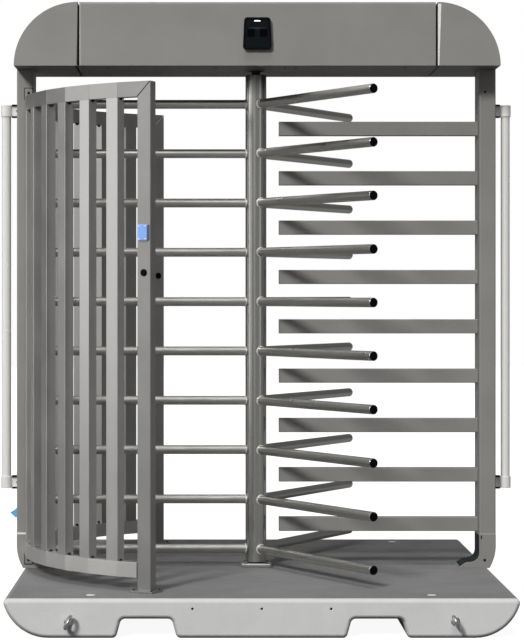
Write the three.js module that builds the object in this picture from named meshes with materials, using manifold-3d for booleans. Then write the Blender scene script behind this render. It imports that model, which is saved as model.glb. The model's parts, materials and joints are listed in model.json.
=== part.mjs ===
// Full height turnstile on a portable ballast base, in millimetres, with +Z up.
// The origin is on the ground, under the rotor's axis, and the front faces -Y.
import * as THREE from 'three';
import { mergeVertices } from 'three/addons/utils/BufferGeometryUtils.js';
import Module from 'manifold-3d';

// Gap between pieces that touch
const GAP = 0.3;

// Lap of solids that are joined, and reach of a cutting tool past the piece that it cuts
const LAP = 1;

// Chamfer on the ends of turned pieces
const CHAMFER = 2;

// Ballast block: the ends curve under, and two fork pockets run through from front to back
const BASE = { halfWidth: 988, halfDepth: 1045, height: 150, flat: 938, endRadius: 180, corner: 18 };
const BASE_EDGE = 17;
const FORK = { centre: 438, mouth: 116, mouthRadius: 20, top: 96, topRadius: 20, height: 73 };
const INSERT = { pitch: 263, z: 112, radius: 7, depth: 45 };
const EYE = { x: 733, z: 66, ring: 23, wire: 8, collar: 17, neck: 7, lean: 25 };
const EYE_SHANK = { radius: 11, depth: 40, holeRadius: 11.9, holeDepth: 42 };
const DECK = { halfWidth: 958, halfDepth: 1023, thickness: 6, corner: 10 };
const PLUG = { x: 655, y: 930, radius: 27, depth: 30, brim: 0.4, dome: 1.6 };

// Portal posts, with heights above the deck, and the feet that they stand on
const POST = { inner: 939, width: 70, depth: 160, wall: 4, corner: 6, top: 2100, plate: 8, cable: 20 };
const FOOT = { height: 142, toe: 853, toeEdge: 2, skin: 3, floor: 6, liner: 3, bore: 22, mouth: 800 };

// Corners of the right foot seen from the front, as x, height and fillet radius
const HEEL = [983, 52, 190];
const THROAT = [[939, 27, 38], [883, 25, 36]];
const INNER_HEEL = [982, 54, 180];

// Comb of fixed bars that the rotor's arms pass between
const ARM_PITCH = 209.5;
const FIRST_ARM = 74.5;
const ARMS = 10;
const COMB = { start: 97, height: 60, depth: 40, wall: 3 };

// Guard cages: straight facets between a bottom rail and a top rail, one bar to a facet
const CAGE = { radius: 980, facet: 150, lastJoint: 64.2, depth: 40, face: 60, bars: 6 };
const RAIL = { bottom: 55, top: 1920, height: 60, end: 84 };
const CAGE_FOOT = { margin: 20, thickness: 8 };
const CLIP = { outer: 977, width: 36, height: 34, thickness: 5, lap: 6 };

// Rotor: a column with three wings of round arms, on a pivot pin
const COLUMN = { radius: 44.45, bottom: 20, top: 2083, bore: 21, boreDepth: 42, sides: 28 };
const ARM = { radius: 19, reach: 890, dome: 3, sides: 10 };
const WINGS = [180, 300, 60];
const PIVOT = { plate: 130, corner: 8, thickness: 15, pin: 20, pinTop: 55, washer: 34 };

// Header housing, with its heights above the deck
const HEAD = { bottom: 2100, height: 264, halfLength: 1008, halfDepth: 250, sheet: 3, bend: 8 };
const SOFFIT = { thickness: 4, hole: 32, play: 1 };

// Head mechanism, with heights above the header's underside
const BEAM = { halfLength: 925, halfWidth: 100, wall: 6, bottom: 4.3, top: 64, tableX: 260, tableY: 160 };
const SHAFT = { radius: 19, top: 168, shoulder: 27, shoulderBottom: 104.5, shoulderTop: 111.7 };
const BEARING = { flange: 140, flangeHeight: 10, corner: 12, boss: 45, fillet: 4, height: 40 };
const BEARING_BORE = { radius: 30, lip: 25, lipHeight: 4 };
const LOCK = { radius: 95, notch: 14, notchAngle: 16, notches: 6, bottom: 112, top: 132 };
const GEAR = { module: 5, ring: 36, pinion: 12, bottom: 136, top: 148, backlash: 0.35 };
const TOOTH = { pressureAngle: 25, dedendum: 1.25, addendum: 0.9 };
const PAWL = { x: 132, y: 74, hub: 15, bore: 8, swing: 12, bottom: 116, top: 128, studTop: 132 };
const PAWL_ARM = { halfWidth: 8, length: 42, pinAt: 35, pin: 3, pinTop: 140 };
const SOLENOID = { start: 172, length: 60, width: 46, axis: 134, top: 157, foot: 8, bore: 6, boreDepth: 42 };
const PLUNGER = { radius: 5, length: 66, eye: 20, slotX: 8, slotY: 12, bottom: 131, top: 137 };
const DAMPER = { radius: 34, top: 106, edge: 3, neck: 12, neckTop: 132, shaft: 6, shaftDepth: 20, play: 0.6 };
const PINION_HUB = { radius: 10, height: 6 };
const CONTROL_BOX = { x: -560, width: 300, depth: 180, height: 110, lid: 10, rim: 4, corner: 8 };

// Nose of the right pawl in a notch of the lock wheel, as x, y and fillet radius from the shaft
const PAWL_NOSE = [[99, 7], [83, 6, 2], [83, -6, 2], [99, -9], [112, -12, 6], [118, -2]];

// Pieces that a user sees or touches, with heights above the deck
const DISPLAY = { top: 108, bottom: 121, z: 2166, height: 132, depth: 20, corner: 14, rim: 9, recess: 4 };
const WINDOW = { play: 0.5, sunk: 1.5 };
const READER = { width: 42, height: 63, depth: 12, corner: 4, step: 2.5, face: 1.5, z: 1393 };
const BUTTON = { z: 1238, cap: 10.5, proud: 7, stem: 12, edge: 2, rise: 1.5 };
const BEZEL = { radius: 14, proud: 4, rise: 1, edge: 1.5, play: 0.4, bore: 12.5, boreDepth: 24, depth: 22 };
const SIDE_TUBE = { x: 1059, radius: 19, bottom: 332, top: 1955, inset: 2, sleeve: 23, sleeveHeight: 49 };
const SIDE_BRACKET = { height: 42, thickness: 6, pad: 50, padThickness: 4 };

// Power inlet, seen along the hinge of its lid: x is out from the post, and y is up from the flange's middle
const INLET = { z: 226, width: 50, flange: 60, flangeThickness: 4, flangeCorner: 4, wall: 4 };
const WEDGE = { tip: [24, -1], heel: [3, -18], shoulder: [24, 5], top: [3, 22] };
const SOCKET = [[8, -25], [20, -15], [20, 1], [8, 11]];
const LID = { length: 23.5, thickness: 3, gap: 0.5, ear: 2 };
const HINGE = { out: 27.5, up: 1, pin: 1.5, knuckle: 3, swing: 5.3, halfWidth: 22, lidHalfWidth: 7.5 };

const COLOURS = {
  concrete: 0xc6c6c4,
  deck: 0x7f7f7f,
  zinc: 0xe2e4e4,
  post: 0x84827f,
  cage: 0x9a9896,
  liner: 0x26343a,
  stainless: 0xb9b9b7,
  header: 0x8a8885,
  soffit: 0x3a3838,
  black: 0x17181b,
  window: 0x0b0d12,
  steel: 0x8d9094,
  bronze: 0xb59a57,
  reader: 0x8fb8ff,
  inlet: 0x4f9ad6,
  enclosure: 0x5d6064,
};

const DEGREE = Math.PI / 180;
const DECK_Z = BASE.height;
const HEAD_Z = DECK_Z + HEAD.bottom;
const SIDES = [{ name: 'left', sign: -1 }, { name: 'right', sign: 1 }];
const ENDS = [{ name: 'front', sign: -1 }, { name: 'rear', sign: 1 }];

const wasm = await Module();
wasm.setup();

const turnstile = new THREE.Group();

// A closed geometry as a manifold-3d solid
function solidOf(geometry) {
  const bare = geometry.index ? geometry.toNonIndexed() : geometry.clone();
  bare.deleteAttribute('normal');
  bare.deleteAttribute('uv');
  const merged = mergeVertices(bare, 1e-4);
  return new wasm.Manifold(new wasm.Mesh({
    numProp: 3,
    vertProperties: merged.attributes.position.array,
    triVerts: new Uint32Array(merged.index.array),
  }));
}

function geometryOf(solid) {
  const mesh = solid.getMesh();
  const geometry = new THREE.BufferGeometry();
  const points = new Float32Array(mesh.vertProperties);
  geometry.setAttribute('position', new THREE.BufferAttribute(points, 3));
  geometry.setIndex(new THREE.BufferAttribute(new Uint32Array(mesh.triVerts), 1));
  geometry.computeVertexNormals();
  return geometry;
}

function join(...geometries) {
  return geometryOf(geometries.map(solidOf).reduce((whole, piece) => whole.add(piece)));
}

function cut(geometry, ...tools) {
  const solids = tools.map(solidOf);
  return geometryOf(solids.reduce((left, tool) => left.subtract(tool), solidOf(geometry)));
}

// A box between two corners
function block(low, high) {
  const size = high.map((value, axis) => value - low[axis]);
  const middle = high.map((value, axis) => (value + low[axis]) / 2);
  return new THREE.BoxGeometry(...size).translate(...middle);
}

// A round bar along Z
function rod(radius, bottom, top, sides = 16) {
  const bar = new THREE.CylinderGeometry(radius, radius, top - bottom, sides);
  return bar.rotateX(Math.PI / 2).translate(0, 0, (bottom + top) / 2);
}

// A profile of [radius, height] pairs, turned about Z
function turned(profile, sides = 24) {
  const points = profile.map(([radius, height]) => new THREE.Vector2(radius, height));
  return new THREE.LatheGeometry(points, sides).rotateX(Math.PI / 2);
}

// A closed outline of [x, y] corners. A third number rounds a corner to that radius.
function outline(corners) {
  const shape = new THREE.Shape();
  const count = corners.length;
  corners.forEach(([x, y, radius = 0], index) => {
    if (!radius) {
      index ? shape.lineTo(x, y) : shape.moveTo(x, y);
      return;
    }
    const corner = new THREE.Vector2(x, y);
    const towards = ([px, py]) => new THREE.Vector2(px, py).sub(corner).normalize();
    const before = towards(corners[(index + count - 1) % count]);
    const after = towards(corners[(index + 1) % count]);
    const half = Math.acos(before.dot(after)) / 2;
    const along = radius / Math.tan(half);
    const start = before.clone().multiplyScalar(along).add(corner);
    const end = after.clone().multiplyScalar(along).add(corner);
    const centre = before.clone().add(after).setLength(radius / Math.sin(half)).add(corner);
    const angleOf = (point) => Math.atan2(point.y - centre.y, point.x - centre.x);
    index ? shape.lineTo(start.x, start.y) : shape.moveTo(start.x, start.y);
    shape.absarc(centre.x, centre.y, radius, angleOf(start), angleOf(end), before.cross(after) > 0);
  });
  return shape;
}

function rectangle(x, y, width, height, corner = 0) {
  const [a, b] = [width / 2, height / 2];
  return outline([[x - a, y - b, corner], [x + a, y - b, corner], [x + a, y + b, corner],
    [x - a, y + b, corner]]);
}

// An outline in X and Y, raised along Z
function raised(shape, bottom, top, curveSegments = 2) {
  const options = { depth: top - bottom, bevelEnabled: false, curveSegments };
  return new THREE.ExtrudeGeometry(shape, options).translate(0, 0, bottom);
}

// An outline in X and Z, stretched along Y
function stretched(shape, front, back, curveSegments = 2) {
  return raised(shape, 0, back - front, curveSegments).rotateX(Math.PI / 2).translate(0, back, 0);
}

// An outline in Y and Z, stretched along X
function lengthened(shape, left, right, curveSegments = 2) {
  const bar = raised(shape, 0, right - left, curveSegments);
  return bar.rotateX(Math.PI / 2).rotateZ(Math.PI / 2).translate(left, 0, 0);
}

// A group that holds a piece's position and its turn about Z
function placeAt(x, y, z, turn = 0) {
  const place = new THREE.Group();
  place.position.set(x, y, z);
  place.rotation.z = turn;
  turnstile.add(place);
  return place;
}

function add(name, geometry, colour, roughness, metalness, place = turnstile) {
  const material = new THREE.MeshStandardMaterial({ color: COLOURS[colour], roughness, metalness });
  const mesh = new THREE.Mesh(geometry, material);
  mesh.name = name;
  place.add(mesh);
  return mesh;
}

// Base

function baseOutline() {
  const { halfWidth, height, flat, endRadius, corner } = BASE;
  const { mouth, mouthRadius, top, topRadius } = FORK;
  const corners = [[-flat, 0, endRadius]];
  for (const centre of [-FORK.centre, FORK.centre]) {
    corners.push([centre - mouth, 0, mouthRadius], [centre - top, FORK.height, topRadius]);
    corners.push([centre + top, FORK.height, topRadius], [centre + mouth, 0, mouthRadius]);
  }
  corners.push([flat, 0, endRadius], [halfWidth, height, corner], [-halfWidth, height, corner]);
  return outline(corners);
}

function deckHoles() {
  return ENDS.flatMap((end) => SIDES.map((side) => [side.sign * PLUG.x, end.sign * PLUG.y]));
}

function addBase() {
  const { halfDepth, height } = BASE;
  const slab = new THREE.ExtrudeGeometry(baseOutline(), {
    depth: 2 * (halfDepth - BASE_EDGE),
    bevelThickness: BASE_EDGE,
    bevelSize: BASE_EDGE,
    bevelOffset: -BASE_EDGE,
    bevelSegments: 2,
    curveSegments: 2,
  });
  slab.rotateX(Math.PI / 2).translate(0, halfDepth - BASE_EDGE, 0);
  const [recessX, recessY] = [DECK.halfWidth + GAP, DECK.halfDepth + GAP];
  const cuts = [block([-recessX, -recessY, height - DECK.thickness - GAP], [recessX, recessY, height + LAP])];
  for (const [x, y] of deckHoles()) {
    cuts.push(rod(PLUG.radius + GAP, height - PLUG.depth, height).translate(x, y, 0));
  }
  for (const end of ENDS) {
    for (const x of [-INSERT.pitch, 0, INSERT.pitch]) {
      const hole = rod(INSERT.radius, -INSERT.depth, INSERT.depth, 8).rotateX(Math.PI / 2);
      cuts.push(hole.translate(x, end.sign * halfDepth, INSERT.z));
    }
    for (const side of SIDES) {
      const { holeRadius, holeDepth } = EYE_SHANK;
      const hole = rod(holeRadius, -holeDepth, holeDepth, 12).rotateX(Math.PI / 2);
      cuts.push(hole.translate(side.sign * EYE.x, end.sign * halfDepth, EYE.z));
    }
  }
  add('base_block', cut(slab, ...cuts), 'concrete', 0.85, 0);
}

function addDeck() {
  const bottom = DECK_Z - DECK.thickness;
  const sheet = raised(rectangle(0, 0, 2 * DECK.halfWidth, 2 * DECK.halfDepth, DECK.corner), bottom, DECK_Z);
  const hole = rod(PLUG.radius + GAP, bottom - LAP, DECK_Z + LAP);
  const holes = deckHoles().map(([x, y]) => hole.clone().translate(x, y, 0));
  add('deck_plate', cut(sheet, ...holes), 'deck', 0.8, 0.2);
}

// Domed plugs that close the lifting sockets
function addPlugs() {
  const { radius, depth, brim, dome } = PLUG;
  const plug = turned([
    [0, GAP - depth], [radius - CHAMFER, GAP - depth], [radius, CHAMFER - depth], [radius, brim],
    [radius * 0.8, dome * 0.8], [0, dome],
  ], 16);
  for (const end of ENDS) {
    for (const side of SIDES) {
      const place = placeAt(side.sign * PLUG.x, end.sign * PLUG.y, DECK_Z);
      add(`socket_plug_${end.name}_${side.name}`, plug, 'zinc', 0.35, 0.8, place);
    }
  }
}

// Forged eye bolts, screwed into the front and back faces, each ring leaning its own way
function addEyeBolts() {
  const { ring, wire, collar, neck, lean } = EYE;
  const { radius, depth } = EYE_SHANK;
  const sunk = 3;
  const root = neck + 2 * sunk;
  const stem = turned([
    [0, -depth], [radius, -depth], [radius, GAP], [collar, GAP], [collar, neck - CHAMFER],
    [wire + sunk, root], [0, root],
  ], 10);
  const centre = neck + ring + wire - sunk;
  const loop = new THREE.TorusGeometry(ring, wire, 6, 12).rotateX(Math.PI / 2).translate(0, 0, centre);
  const eye = join(stem, loop);
  for (const end of ENDS) {
    for (const side of SIDES) {
      const place = placeAt(side.sign * EYE.x, end.sign * BASE.halfDepth, EYE.z);
      const bolt = add(`eye_bolt_${end.name}_${side.name}`, eye, 'zinc', 0.35, 0.9, place);
      bolt.rotation.x = -end.sign * Math.PI / 2;
      bolt.rotateZ(Math.PI / 2 + side.sign * lean * DEGREE);
    }
  }
}

// Posts and feet

// Front view of the right foot, from the toe on the deck to the flat that carries the post
function footOutline() {
  const outer = POST.inner + POST.width;
  const [heelX, heelZ, heelRadius] = HEEL;
  return outline([
    [FOOT.toe, 0], [heelX, 0], [outer, heelZ, heelRadius], [outer, FOOT.height], [POST.inner, FOOT.height],
    ...THROAT, [FOOT.toe, FOOT.toeEdge],
  ]);
}

// Mirrors a closed geometry of the right side to the left
function mirrored(geometry) {
  const flipped = geometry.clone();
  if (flipped.index) {
    const indices = flipped.index.array;
    for (let i = 0; i < indices.length; i += 3) [indices[i], indices[i + 1]] = [indices[i + 1], indices[i]];
  }
  return flipped.scale(-1, 1, 1);
}

function addOnBothSides(name, geometry, ...look) {
  for (const side of SIDES) {
    add(`${name}_${side.name}`, side.sign > 0 ? geometry : mirrored(geometry), ...look);
  }
}

function addFeet() {
  const { height, skin, floor, liner, bore, mouth } = FOOT;
  const outer = POST.inner + POST.width;
  const halfDepth = POST.depth / 2 + skin;
  const [heelX, heelZ, heelRadius] = INNER_HEEL;
  const cavity = outline([
    [mouth, floor], [heelX, floor], [outer - skin, heelZ, heelRadius], [outer - skin, height - floor],
    [mouth, height - floor],
  ]);
  const centre = POST.inner + POST.width / 2;
  const shell = cut(
    stretched(footOutline(), -halfDepth, halfDepth),
    stretched(cavity, -POST.depth / 2, POST.depth / 2),
    rod(bore, height - 2 * floor, height + LAP).translate(centre, 0, 0),
  );
  const reach = POST.depth / 2 - GAP;
  const strip = cut(
    stretched(footOutline(), -reach, reach),
    stretched(footOutline(), -halfDepth, halfDepth).translate(liner, 0, -liner),
    block([mouth, -halfDepth, height - floor - GAP], [outer + LAP, halfDepth, height + LAP]),
    block([mouth, -halfDepth, -liner - LAP], [outer + LAP, halfDepth, floor + GAP]),
  );
  addOnBothSides('foot', shell.translate(0, 0, DECK_Z + GAP), 'post', 0.55, 0.5);
  addOnBothSides('foot_liner', strip.translate(0, 0, DECK_Z + GAP), 'liner', 0.6, 0);
}

function addPosts() {
  const { inner, width, depth, wall, corner, top, plate, cable } = POST;
  const [bottomZ, topZ] = [DECK_Z + FOOT.height + 2 * GAP, DECK_Z + top - GAP];
  const centre = inner + width / 2;
  const tube = cut(
    raised(rectangle(centre, 0, width, depth, corner), bottomZ, topZ),
    raised(rectangle(centre, 0, width - 2 * wall, depth - 2 * wall), bottomZ + plate, topZ - plate),
    rod(cable, bottomZ - LAP, topZ + LAP).translate(centre, 0, 0),
  );
  addOnBothSides('post', tube, 'post', 0.55, 0.5);
}

// Comb bars: box sections with a closed end towards the column, open where they meet the post
function addComb() {
  const { start, height, depth, wall } = COMB;
  const end = POST.inner - GAP;
  const bar = cut(
    block([start, -depth / 2, -height / 2], [end, depth / 2, height / 2]),
    block([start + wall, wall - depth / 2, wall - height / 2], [end + LAP, depth / 2 - wall, height / 2 - wall]),
  );
  for (let i = 1; i < ARMS; i += 1) {
    const place = placeAt(0, 0, DECK_Z + FIRST_ARM + (i - 0.5) * ARM_PITCH);
    add(`comb_bar_${i}`, bar, 'post', 0.55, 0.5, place);
  }
}

// Guard cages

// Angle between two joints of a cage, and the plan position of a joint
const FACET_STEP = 2 * Math.asin(CAGE.facet / 2 / CAGE.radius);

function jointAt(index, end) {
  const angle = CAGE.lastJoint * DEGREE - index * FACET_STEP;
  return new THREE.Vector2(-Math.cos(angle), end.sign * Math.sin(angle)).multiplyScalar(CAGE.radius);
}

// A plan position on a facet: along it from its joint, and inwards from its outer face
function onFacet(index, end, along, inwards) {
  const joint = jointAt(index, end);
  const forwards = jointAt(index + 1, end).sub(joint).normalize();
  const inside = new THREE.Vector2(forwards.y, -forwards.x).multiplyScalar(-end.sign);
  return joint.addScaledVector(forwards, along).addScaledVector(inside, inwards);
}

function facetPlan(index, end, from, to, outside, inside) {
  const corners = [[from, outside], [to, outside], [to, inside], [from, inside]];
  return new THREE.Shape(corners.map(([along, inwards]) => onFacet(index, end, along, inwards)));
}

// Where a line of the rail through two joints reaches the post's face
function atPost(a, b, end) {
  const share = (end.sign * RAIL.end - a.y) / (b.y - a.y);
  return a.clone().lerp(b, share);
}

function railPlan(end) {
  const { bars, depth, radius } = CAGE;
  const innerScale = 1 - depth / Math.cos(FACET_STEP / 2) / radius;
  const outer = Array.from({ length: bars + 2 }, (_, index) => jointAt(index, end));
  const inner = outer.map((joint) => joint.clone().multiplyScalar(innerScale));
  inner[0] = onFacet(0, end, 0, depth);
  for (const line of [outer, inner]) line.push(atPost(line[bars], line[bars + 1], end));
  for (const line of [outer, inner]) line.splice(bars + 1, 1);
  return new THREE.Shape([...outer, ...inner.reverse()]);
}

function cagePostFace(end) {
  const inwards = end.sign > 0 ? CAGE.depth : 0;
  const middle = onFacet(0, end, CAGE.face / 2, inwards);
  const behind = onFacet(0, end, CAGE.face / 2, inwards - end.sign);
  return { middle, turn: Math.atan2(middle.x - behind.x, behind.y - middle.y) };
}

function addCage(end) {
  const { depth, face, bars } = CAGE;
  const [railBottom, railTop] = [DECK_Z + RAIL.bottom, DECK_Z + RAIL.top];
  const pieces = [
    raised(railPlan(end), railBottom, railBottom + RAIL.height),
    raised(railPlan(end), railTop, railTop + RAIL.height),
  ];
  for (let index = 1; index <= bars; index += 1) {
    const plan = facetPlan(index, end, 0, face, 0, depth);
    pieces.push(raised(plan, railBottom + RAIL.height - LAP, railTop + LAP));
  }
  const { margin, thickness } = CAGE_FOOT;
  const floor = DECK_Z + GAP;
  pieces.push(raised(facetPlan(0, end, 0, face, 0, depth), floor, railTop + RAIL.height));
  const flange = facetPlan(0, end, -margin, face + margin, -margin, depth + margin);
  pieces.push(raised(flange, floor, floor + thickness));
  const clip = (low, high, standoff) => {
    const near = POST.depth / 2 + standoff + GAP;
    const far = near + CLIP.thickness;
    const y = end.sign < 0 ? [-far, -near] : [near, far];
    return block([-CLIP.outer, y[0], low], [CLIP.width - CLIP.outer, y[1], high]);
  };
  pieces.push(clip(railTop + RAIL.height - CLIP.lap, railTop + RAIL.height + CLIP.height, 0));
  pieces.push(clip(railBottom - CLIP.height, railBottom + CLIP.lap, FOOT.skin));
  const { middle, turn } = cagePostFace(end);
  const bore = rod(BEZEL.bore, -LAP, BEZEL.boreDepth, 16).rotateX(-Math.PI / 2).rotateZ(turn);
  bore.translate(middle.x, middle.y, DECK_Z + BUTTON.z);
  add(`cage_${end.name}`, cut(join(...pieces), bore), 'cage', 0.5, 0.5);
}

// Rotor

function addRotor() {
  const { radius, bottom, top, bore, boreDepth, sides } = COLUMN;
  const column = turned([[0, bottom], [radius, bottom], [radius, top], [0, top]], sides);
  const arm = turned([
    [0, 0], [ARM.radius, 0], [ARM.radius, ARM.reach - ARM.dome], [0, ARM.reach],
  ], ARM.sides).rotateY(Math.PI / 2);
  let rotor = solidOf(column);
  for (const wing of WINGS) {
    for (let i = 0; i < ARMS; i += 1) {
      const placed = arm.clone().rotateZ(wing * DEGREE).translate(0, 0, FIRST_ARM + i * ARM_PITCH);
      rotor = rotor.add(solidOf(placed));
    }
  }
  const pivotBore = solidOf(rod(bore, bottom - LAP, bottom + boreDepth, 20));
  const weldment = geometryOf(rotor.subtract(pivotBore)).translate(0, 0, DECK_Z);
  add('rotor', weldment, 'stainless', 0.3, 0.95);
}

// Base plate with the pin that the column turns on
function addPivot() {
  const { plate, corner, thickness, pin, pinTop, washer } = PIVOT;
  const pinned = join(
    raised(rectangle(0, 0, plate, plate, corner), GAP, thickness),
    turned([
      [0, thickness - LAP], [washer, thickness - LAP], [washer, COLUMN.bottom - GAP],
      [pin, COLUMN.bottom - GAP], [pin, pinTop - CHAMFER], [pin - CHAMFER, pinTop], [0, pinTop],
    ], 20),
  );
  add('pivot_plate', pinned.translate(0, 0, DECK_Z), 'steel', 0.4, 0.8);
}

// Header housing

function addHeader() {
  const { height, halfLength, halfDepth, sheet, bend } = HEAD;
  const middle = halfLength - height;
  const seam = middle - sheet;
  const section = outline([
    [-halfDepth, 0], [-halfDepth, height, bend], [halfDepth, height, bend], [halfDepth, 0],
    [halfDepth - sheet, 0], [halfDepth - sheet, height - sheet, bend - sheet],
    [sheet - halfDepth, height - sheet, bend - sheet], [sheet - halfDepth, 0],
  ]);
  const cover = lengthened(section, GAP - seam, seam - GAP).translate(0, 0, HEAD_Z);
  add('header_cover', cover, 'header', 0.5, 0.5);

  const quarter = (radius, start, low) => {
    const shape = new THREE.Shape().moveTo(start, low).lineTo(middle + radius, low);
    return shape.absarc(middle, 0, radius, 0, Math.PI / 2).lineTo(start, radius);
  };
  const end = cut(
    stretched(quarter(height, seam, 0), -halfDepth, halfDepth, 8),
    stretched(quarter(height - sheet, seam - LAP, -LAP), sheet - halfDepth, halfDepth - sheet, 8),
  ).translate(0, 0, HEAD_Z);
  addOnBothSides('header_end', end, 'header', 0.5, 0.5);

  const tray = rectangle(0, 0, 2 * (halfLength - sheet - SOFFIT.play), 2 * (halfDepth - sheet - GAP));
  tray.holes.push(new THREE.Path().absarc(0, 0, SOFFIT.hole, 0, 2 * Math.PI, true));
  const soffit = raised(tray, HEAD_Z, HEAD_Z + SOFFIT.thickness - GAP, 8);
  add('header_soffit', soffit, 'soffit', 0.6, 0.4);
}

// Head mechanism

// Beam over the posts, with the table that carries the bearing and the pawls' pivot studs
function addBeam() {
  const { halfLength, halfWidth, wall, bottom, top, tableX, tableY } = BEAM;
  const channel = outline([
    [-halfWidth, bottom], [wall - halfWidth, bottom], [wall - halfWidth, top - wall],
    [halfWidth - wall, top - wall], [halfWidth - wall, bottom], [halfWidth, bottom], [halfWidth, top],
    [-halfWidth, top],
  ]);
  const pieces = [lengthened(channel, -halfLength, halfLength)];
  pieces.push(block([-tableX, -tableY, top - wall], [tableX, tableY, top]));
  for (const side of SIDES) {
    const stud = turned([
      [0, top - LAP], [PAWL.hub, top - LAP], [PAWL.hub, PAWL.bottom - GAP],
      [PAWL.bore - GAP, PAWL.bottom - GAP], [PAWL.bore - GAP, PAWL.studTop], [0, PAWL.studTop],
    ], 12);
    pieces.push(stud.translate(side.sign * PAWL.x, PAWL.y, 0));
  }
  const hole = rod(SOFFIT.hole, bottom, top + LAP, 20);
  add('head_beam', cut(join(...pieces), hole).translate(0, 0, HEAD_Z), 'steel', 0.5, 0.7);
}

function addBearing() {
  const { flange, flangeHeight, corner, boss, fillet, height } = BEARING;
  const { radius, lip, lipHeight } = BEARING_BORE;
  const bottom = BEAM.top + GAP;
  const top = bottom + height;
  const housing = cut(
    join(
      raised(rectangle(0, 0, flange, flange, corner), bottom, bottom + flangeHeight),
      turned([
        [0, bottom + LAP], [boss + fillet, bottom + LAP], [boss + fillet, bottom + flangeHeight],
        [boss, bottom + flangeHeight + fillet], [boss, top - CHAMFER], [boss - CHAMFER, top], [0, top],
      ], 24),
    ),
    rod(lip, bottom - LAP, top, 20),
    rod(radius, bottom + lipHeight, top + LAP, 20),
  );
  add('bearing_housing', housing.translate(0, 0, HEAD_Z), 'steel', 0.45, 0.8);
  const [low, high] = [bottom + lipHeight + GAP, SHAFT.shoulderBottom - GAP];
  const [inner, outer] = [SHAFT.radius + GAP, radius - 2 * GAP];
  const ring = turned([
    [inner, low], [outer, low], [outer, high], [inner, high], [inner, low],
  ], 20);
  add('top_bearing', ring.translate(0, 0, HEAD_Z), 'bronze', 0.3, 0.9);
}

function addShaft() {
  const { radius, top, shoulder, shoulderBottom, shoulderTop } = SHAFT;
  const bottom = COLUMN.top - HEAD.bottom + GAP;
  const shaft = turned([
    [0, bottom], [radius, bottom], [radius, shoulderBottom], [shoulder, shoulderBottom],
    [shoulder, shoulderTop], [radius, shoulderTop], [radius, top - CHAMFER], [radius - CHAMFER, top],
    [0, top],
  ], 20);
  add('rotor_shaft', shaft.translate(0, 0, HEAD_Z), 'stainless', 0.3, 0.95);
}

// Lock wheel: a disc with a notch for every sixth of a turn
function addLockWheel() {
  const { radius, notch, notchAngle, notches, bottom, top } = LOCK;
  const shape = new THREE.Shape();
  const [half, pitch] = [notchAngle / 2 * DEGREE, 2 * Math.PI / notches];
  for (let i = 0; i < notches; i += 1) {
    const middle = i * pitch;
    shape.absarc(0, 0, radius - notch, middle - half, middle + half);
    shape.absarc(0, 0, radius, middle + half, middle + pitch - half);
  }
  const wheel = onShaft(raised(shape, bottom, top, 3));
  add('lock_wheel', wheel.translate(0, 0, HEAD_Z), 'steel', 0.35, 0.9);
}

// Bores a wheel for the rotor's shaft
function onShaft(wheel) {
  return cut(wheel, rod(SHAFT.radius + GAP, 0, SHAFT.top, 20));
}

function involute(angle) {
  return Math.tan(angle) - angle;
}

// A spur gear's outline, with each flank on the involute of its base circle and radial below it
function gearOutline(teeth) {
  const { module, backlash } = GEAR;
  const pressure = TOOTH.pressureAngle * DEGREE;
  const pitch = teeth * module / 2;
  const [root, tip] = [pitch - TOOTH.dedendum * module, pitch + TOOTH.addendum * module];
  const baseRadius = pitch * Math.cos(pressure);
  const halfTooth = (radius) => {
    const local = Math.acos(Math.min(1, baseRadius / radius));
    return Math.PI / 2 / teeth - backlash / pitch + involute(pressure) - involute(local);
  };
  const flank = root < baseRadius ? [root, baseRadius, pitch, tip] : [root, pitch, tip];
  const points = [];
  for (let i = 0; i < teeth; i += 1) {
    const middle = i * 2 * Math.PI / teeth;
    const at = (radius, angle) => new THREE.Vector2(Math.cos(angle), Math.sin(angle)).multiplyScalar(radius);
    for (const radius of flank) points.push(at(radius, middle - halfTooth(radius)));
    for (const radius of flank.toReversed()) points.push(at(radius, middle + halfTooth(radius)));
  }
  return new THREE.Shape(points);
}

// Ring gear on the shaft, and the damper whose pinion it drives
function addDamperDrive() {
  const { module, ring, pinion, bottom, top } = GEAR;
  const gear = onShaft(raised(gearOutline(ring), bottom, top));
  add('ring_gear', gear.translate(0, 0, HEAD_Z), 'steel', 0.4, 0.9);

  const distance = module * (ring + pinion) / 2;
  const place = placeAt(0, -distance, HEAD_Z);
  const { radius, edge, neck, neckTop, shaft, shaftDepth, play } = DAMPER;
  const low = BEAM.top + GAP;
  const body = cut(
    turned([
      [0, low], [radius, low], [radius, DAMPER.top - edge], [radius - edge, DAMPER.top], [neck, DAMPER.top],
      [neck, neckTop], [0, neckTop],
    ], 20),
    rod(shaft + play, neckTop - shaftDepth, neckTop + LAP, 12),
  );
  add('damper_body', body, 'enclosure', 0.4, 0.7, place);
  const driven = join(
    raised(gearOutline(pinion), bottom - LAP, top + LAP).rotateZ(Math.PI / pinion),
    rod(shaft, neckTop - shaftDepth + LAP, bottom, 12),
    rod(PINION_HUB.radius, top, top + PINION_HUB.height, 12),
  );
  add('damper_pinion', driven, 'steel', 0.4, 0.9, place);
}

// Pawl outline about its pivot, for the right side, drawn engaged and then turned back to rest
function pawlGeometry() {
  const { x, y, hub, bore, swing, bottom, top } = PAWL;
  const { halfWidth, length, pinAt, pin, pinTop } = PAWL_ARM;
  const fromPivot = ([px, py, radius = 0]) => [px - x, py - y, radius];
  const shape = outline([...PAWL_NOSE, [x + hub, y], [x - hub, y]].map(fromPivot));
  const lever = join(raised(shape, bottom, top), rod(hub, bottom, top)).rotateZ(swing * DEGREE);
  const arm = block([-halfWidth, 0, bottom], [halfWidth, length, top]);
  const post = rod(pin, top - LAP, pinTop, 10).translate(0, pinAt, 0);
  return cut(join(lever, arm, post), rod(bore, bottom - LAP, top + LAP, 16));
}

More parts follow.
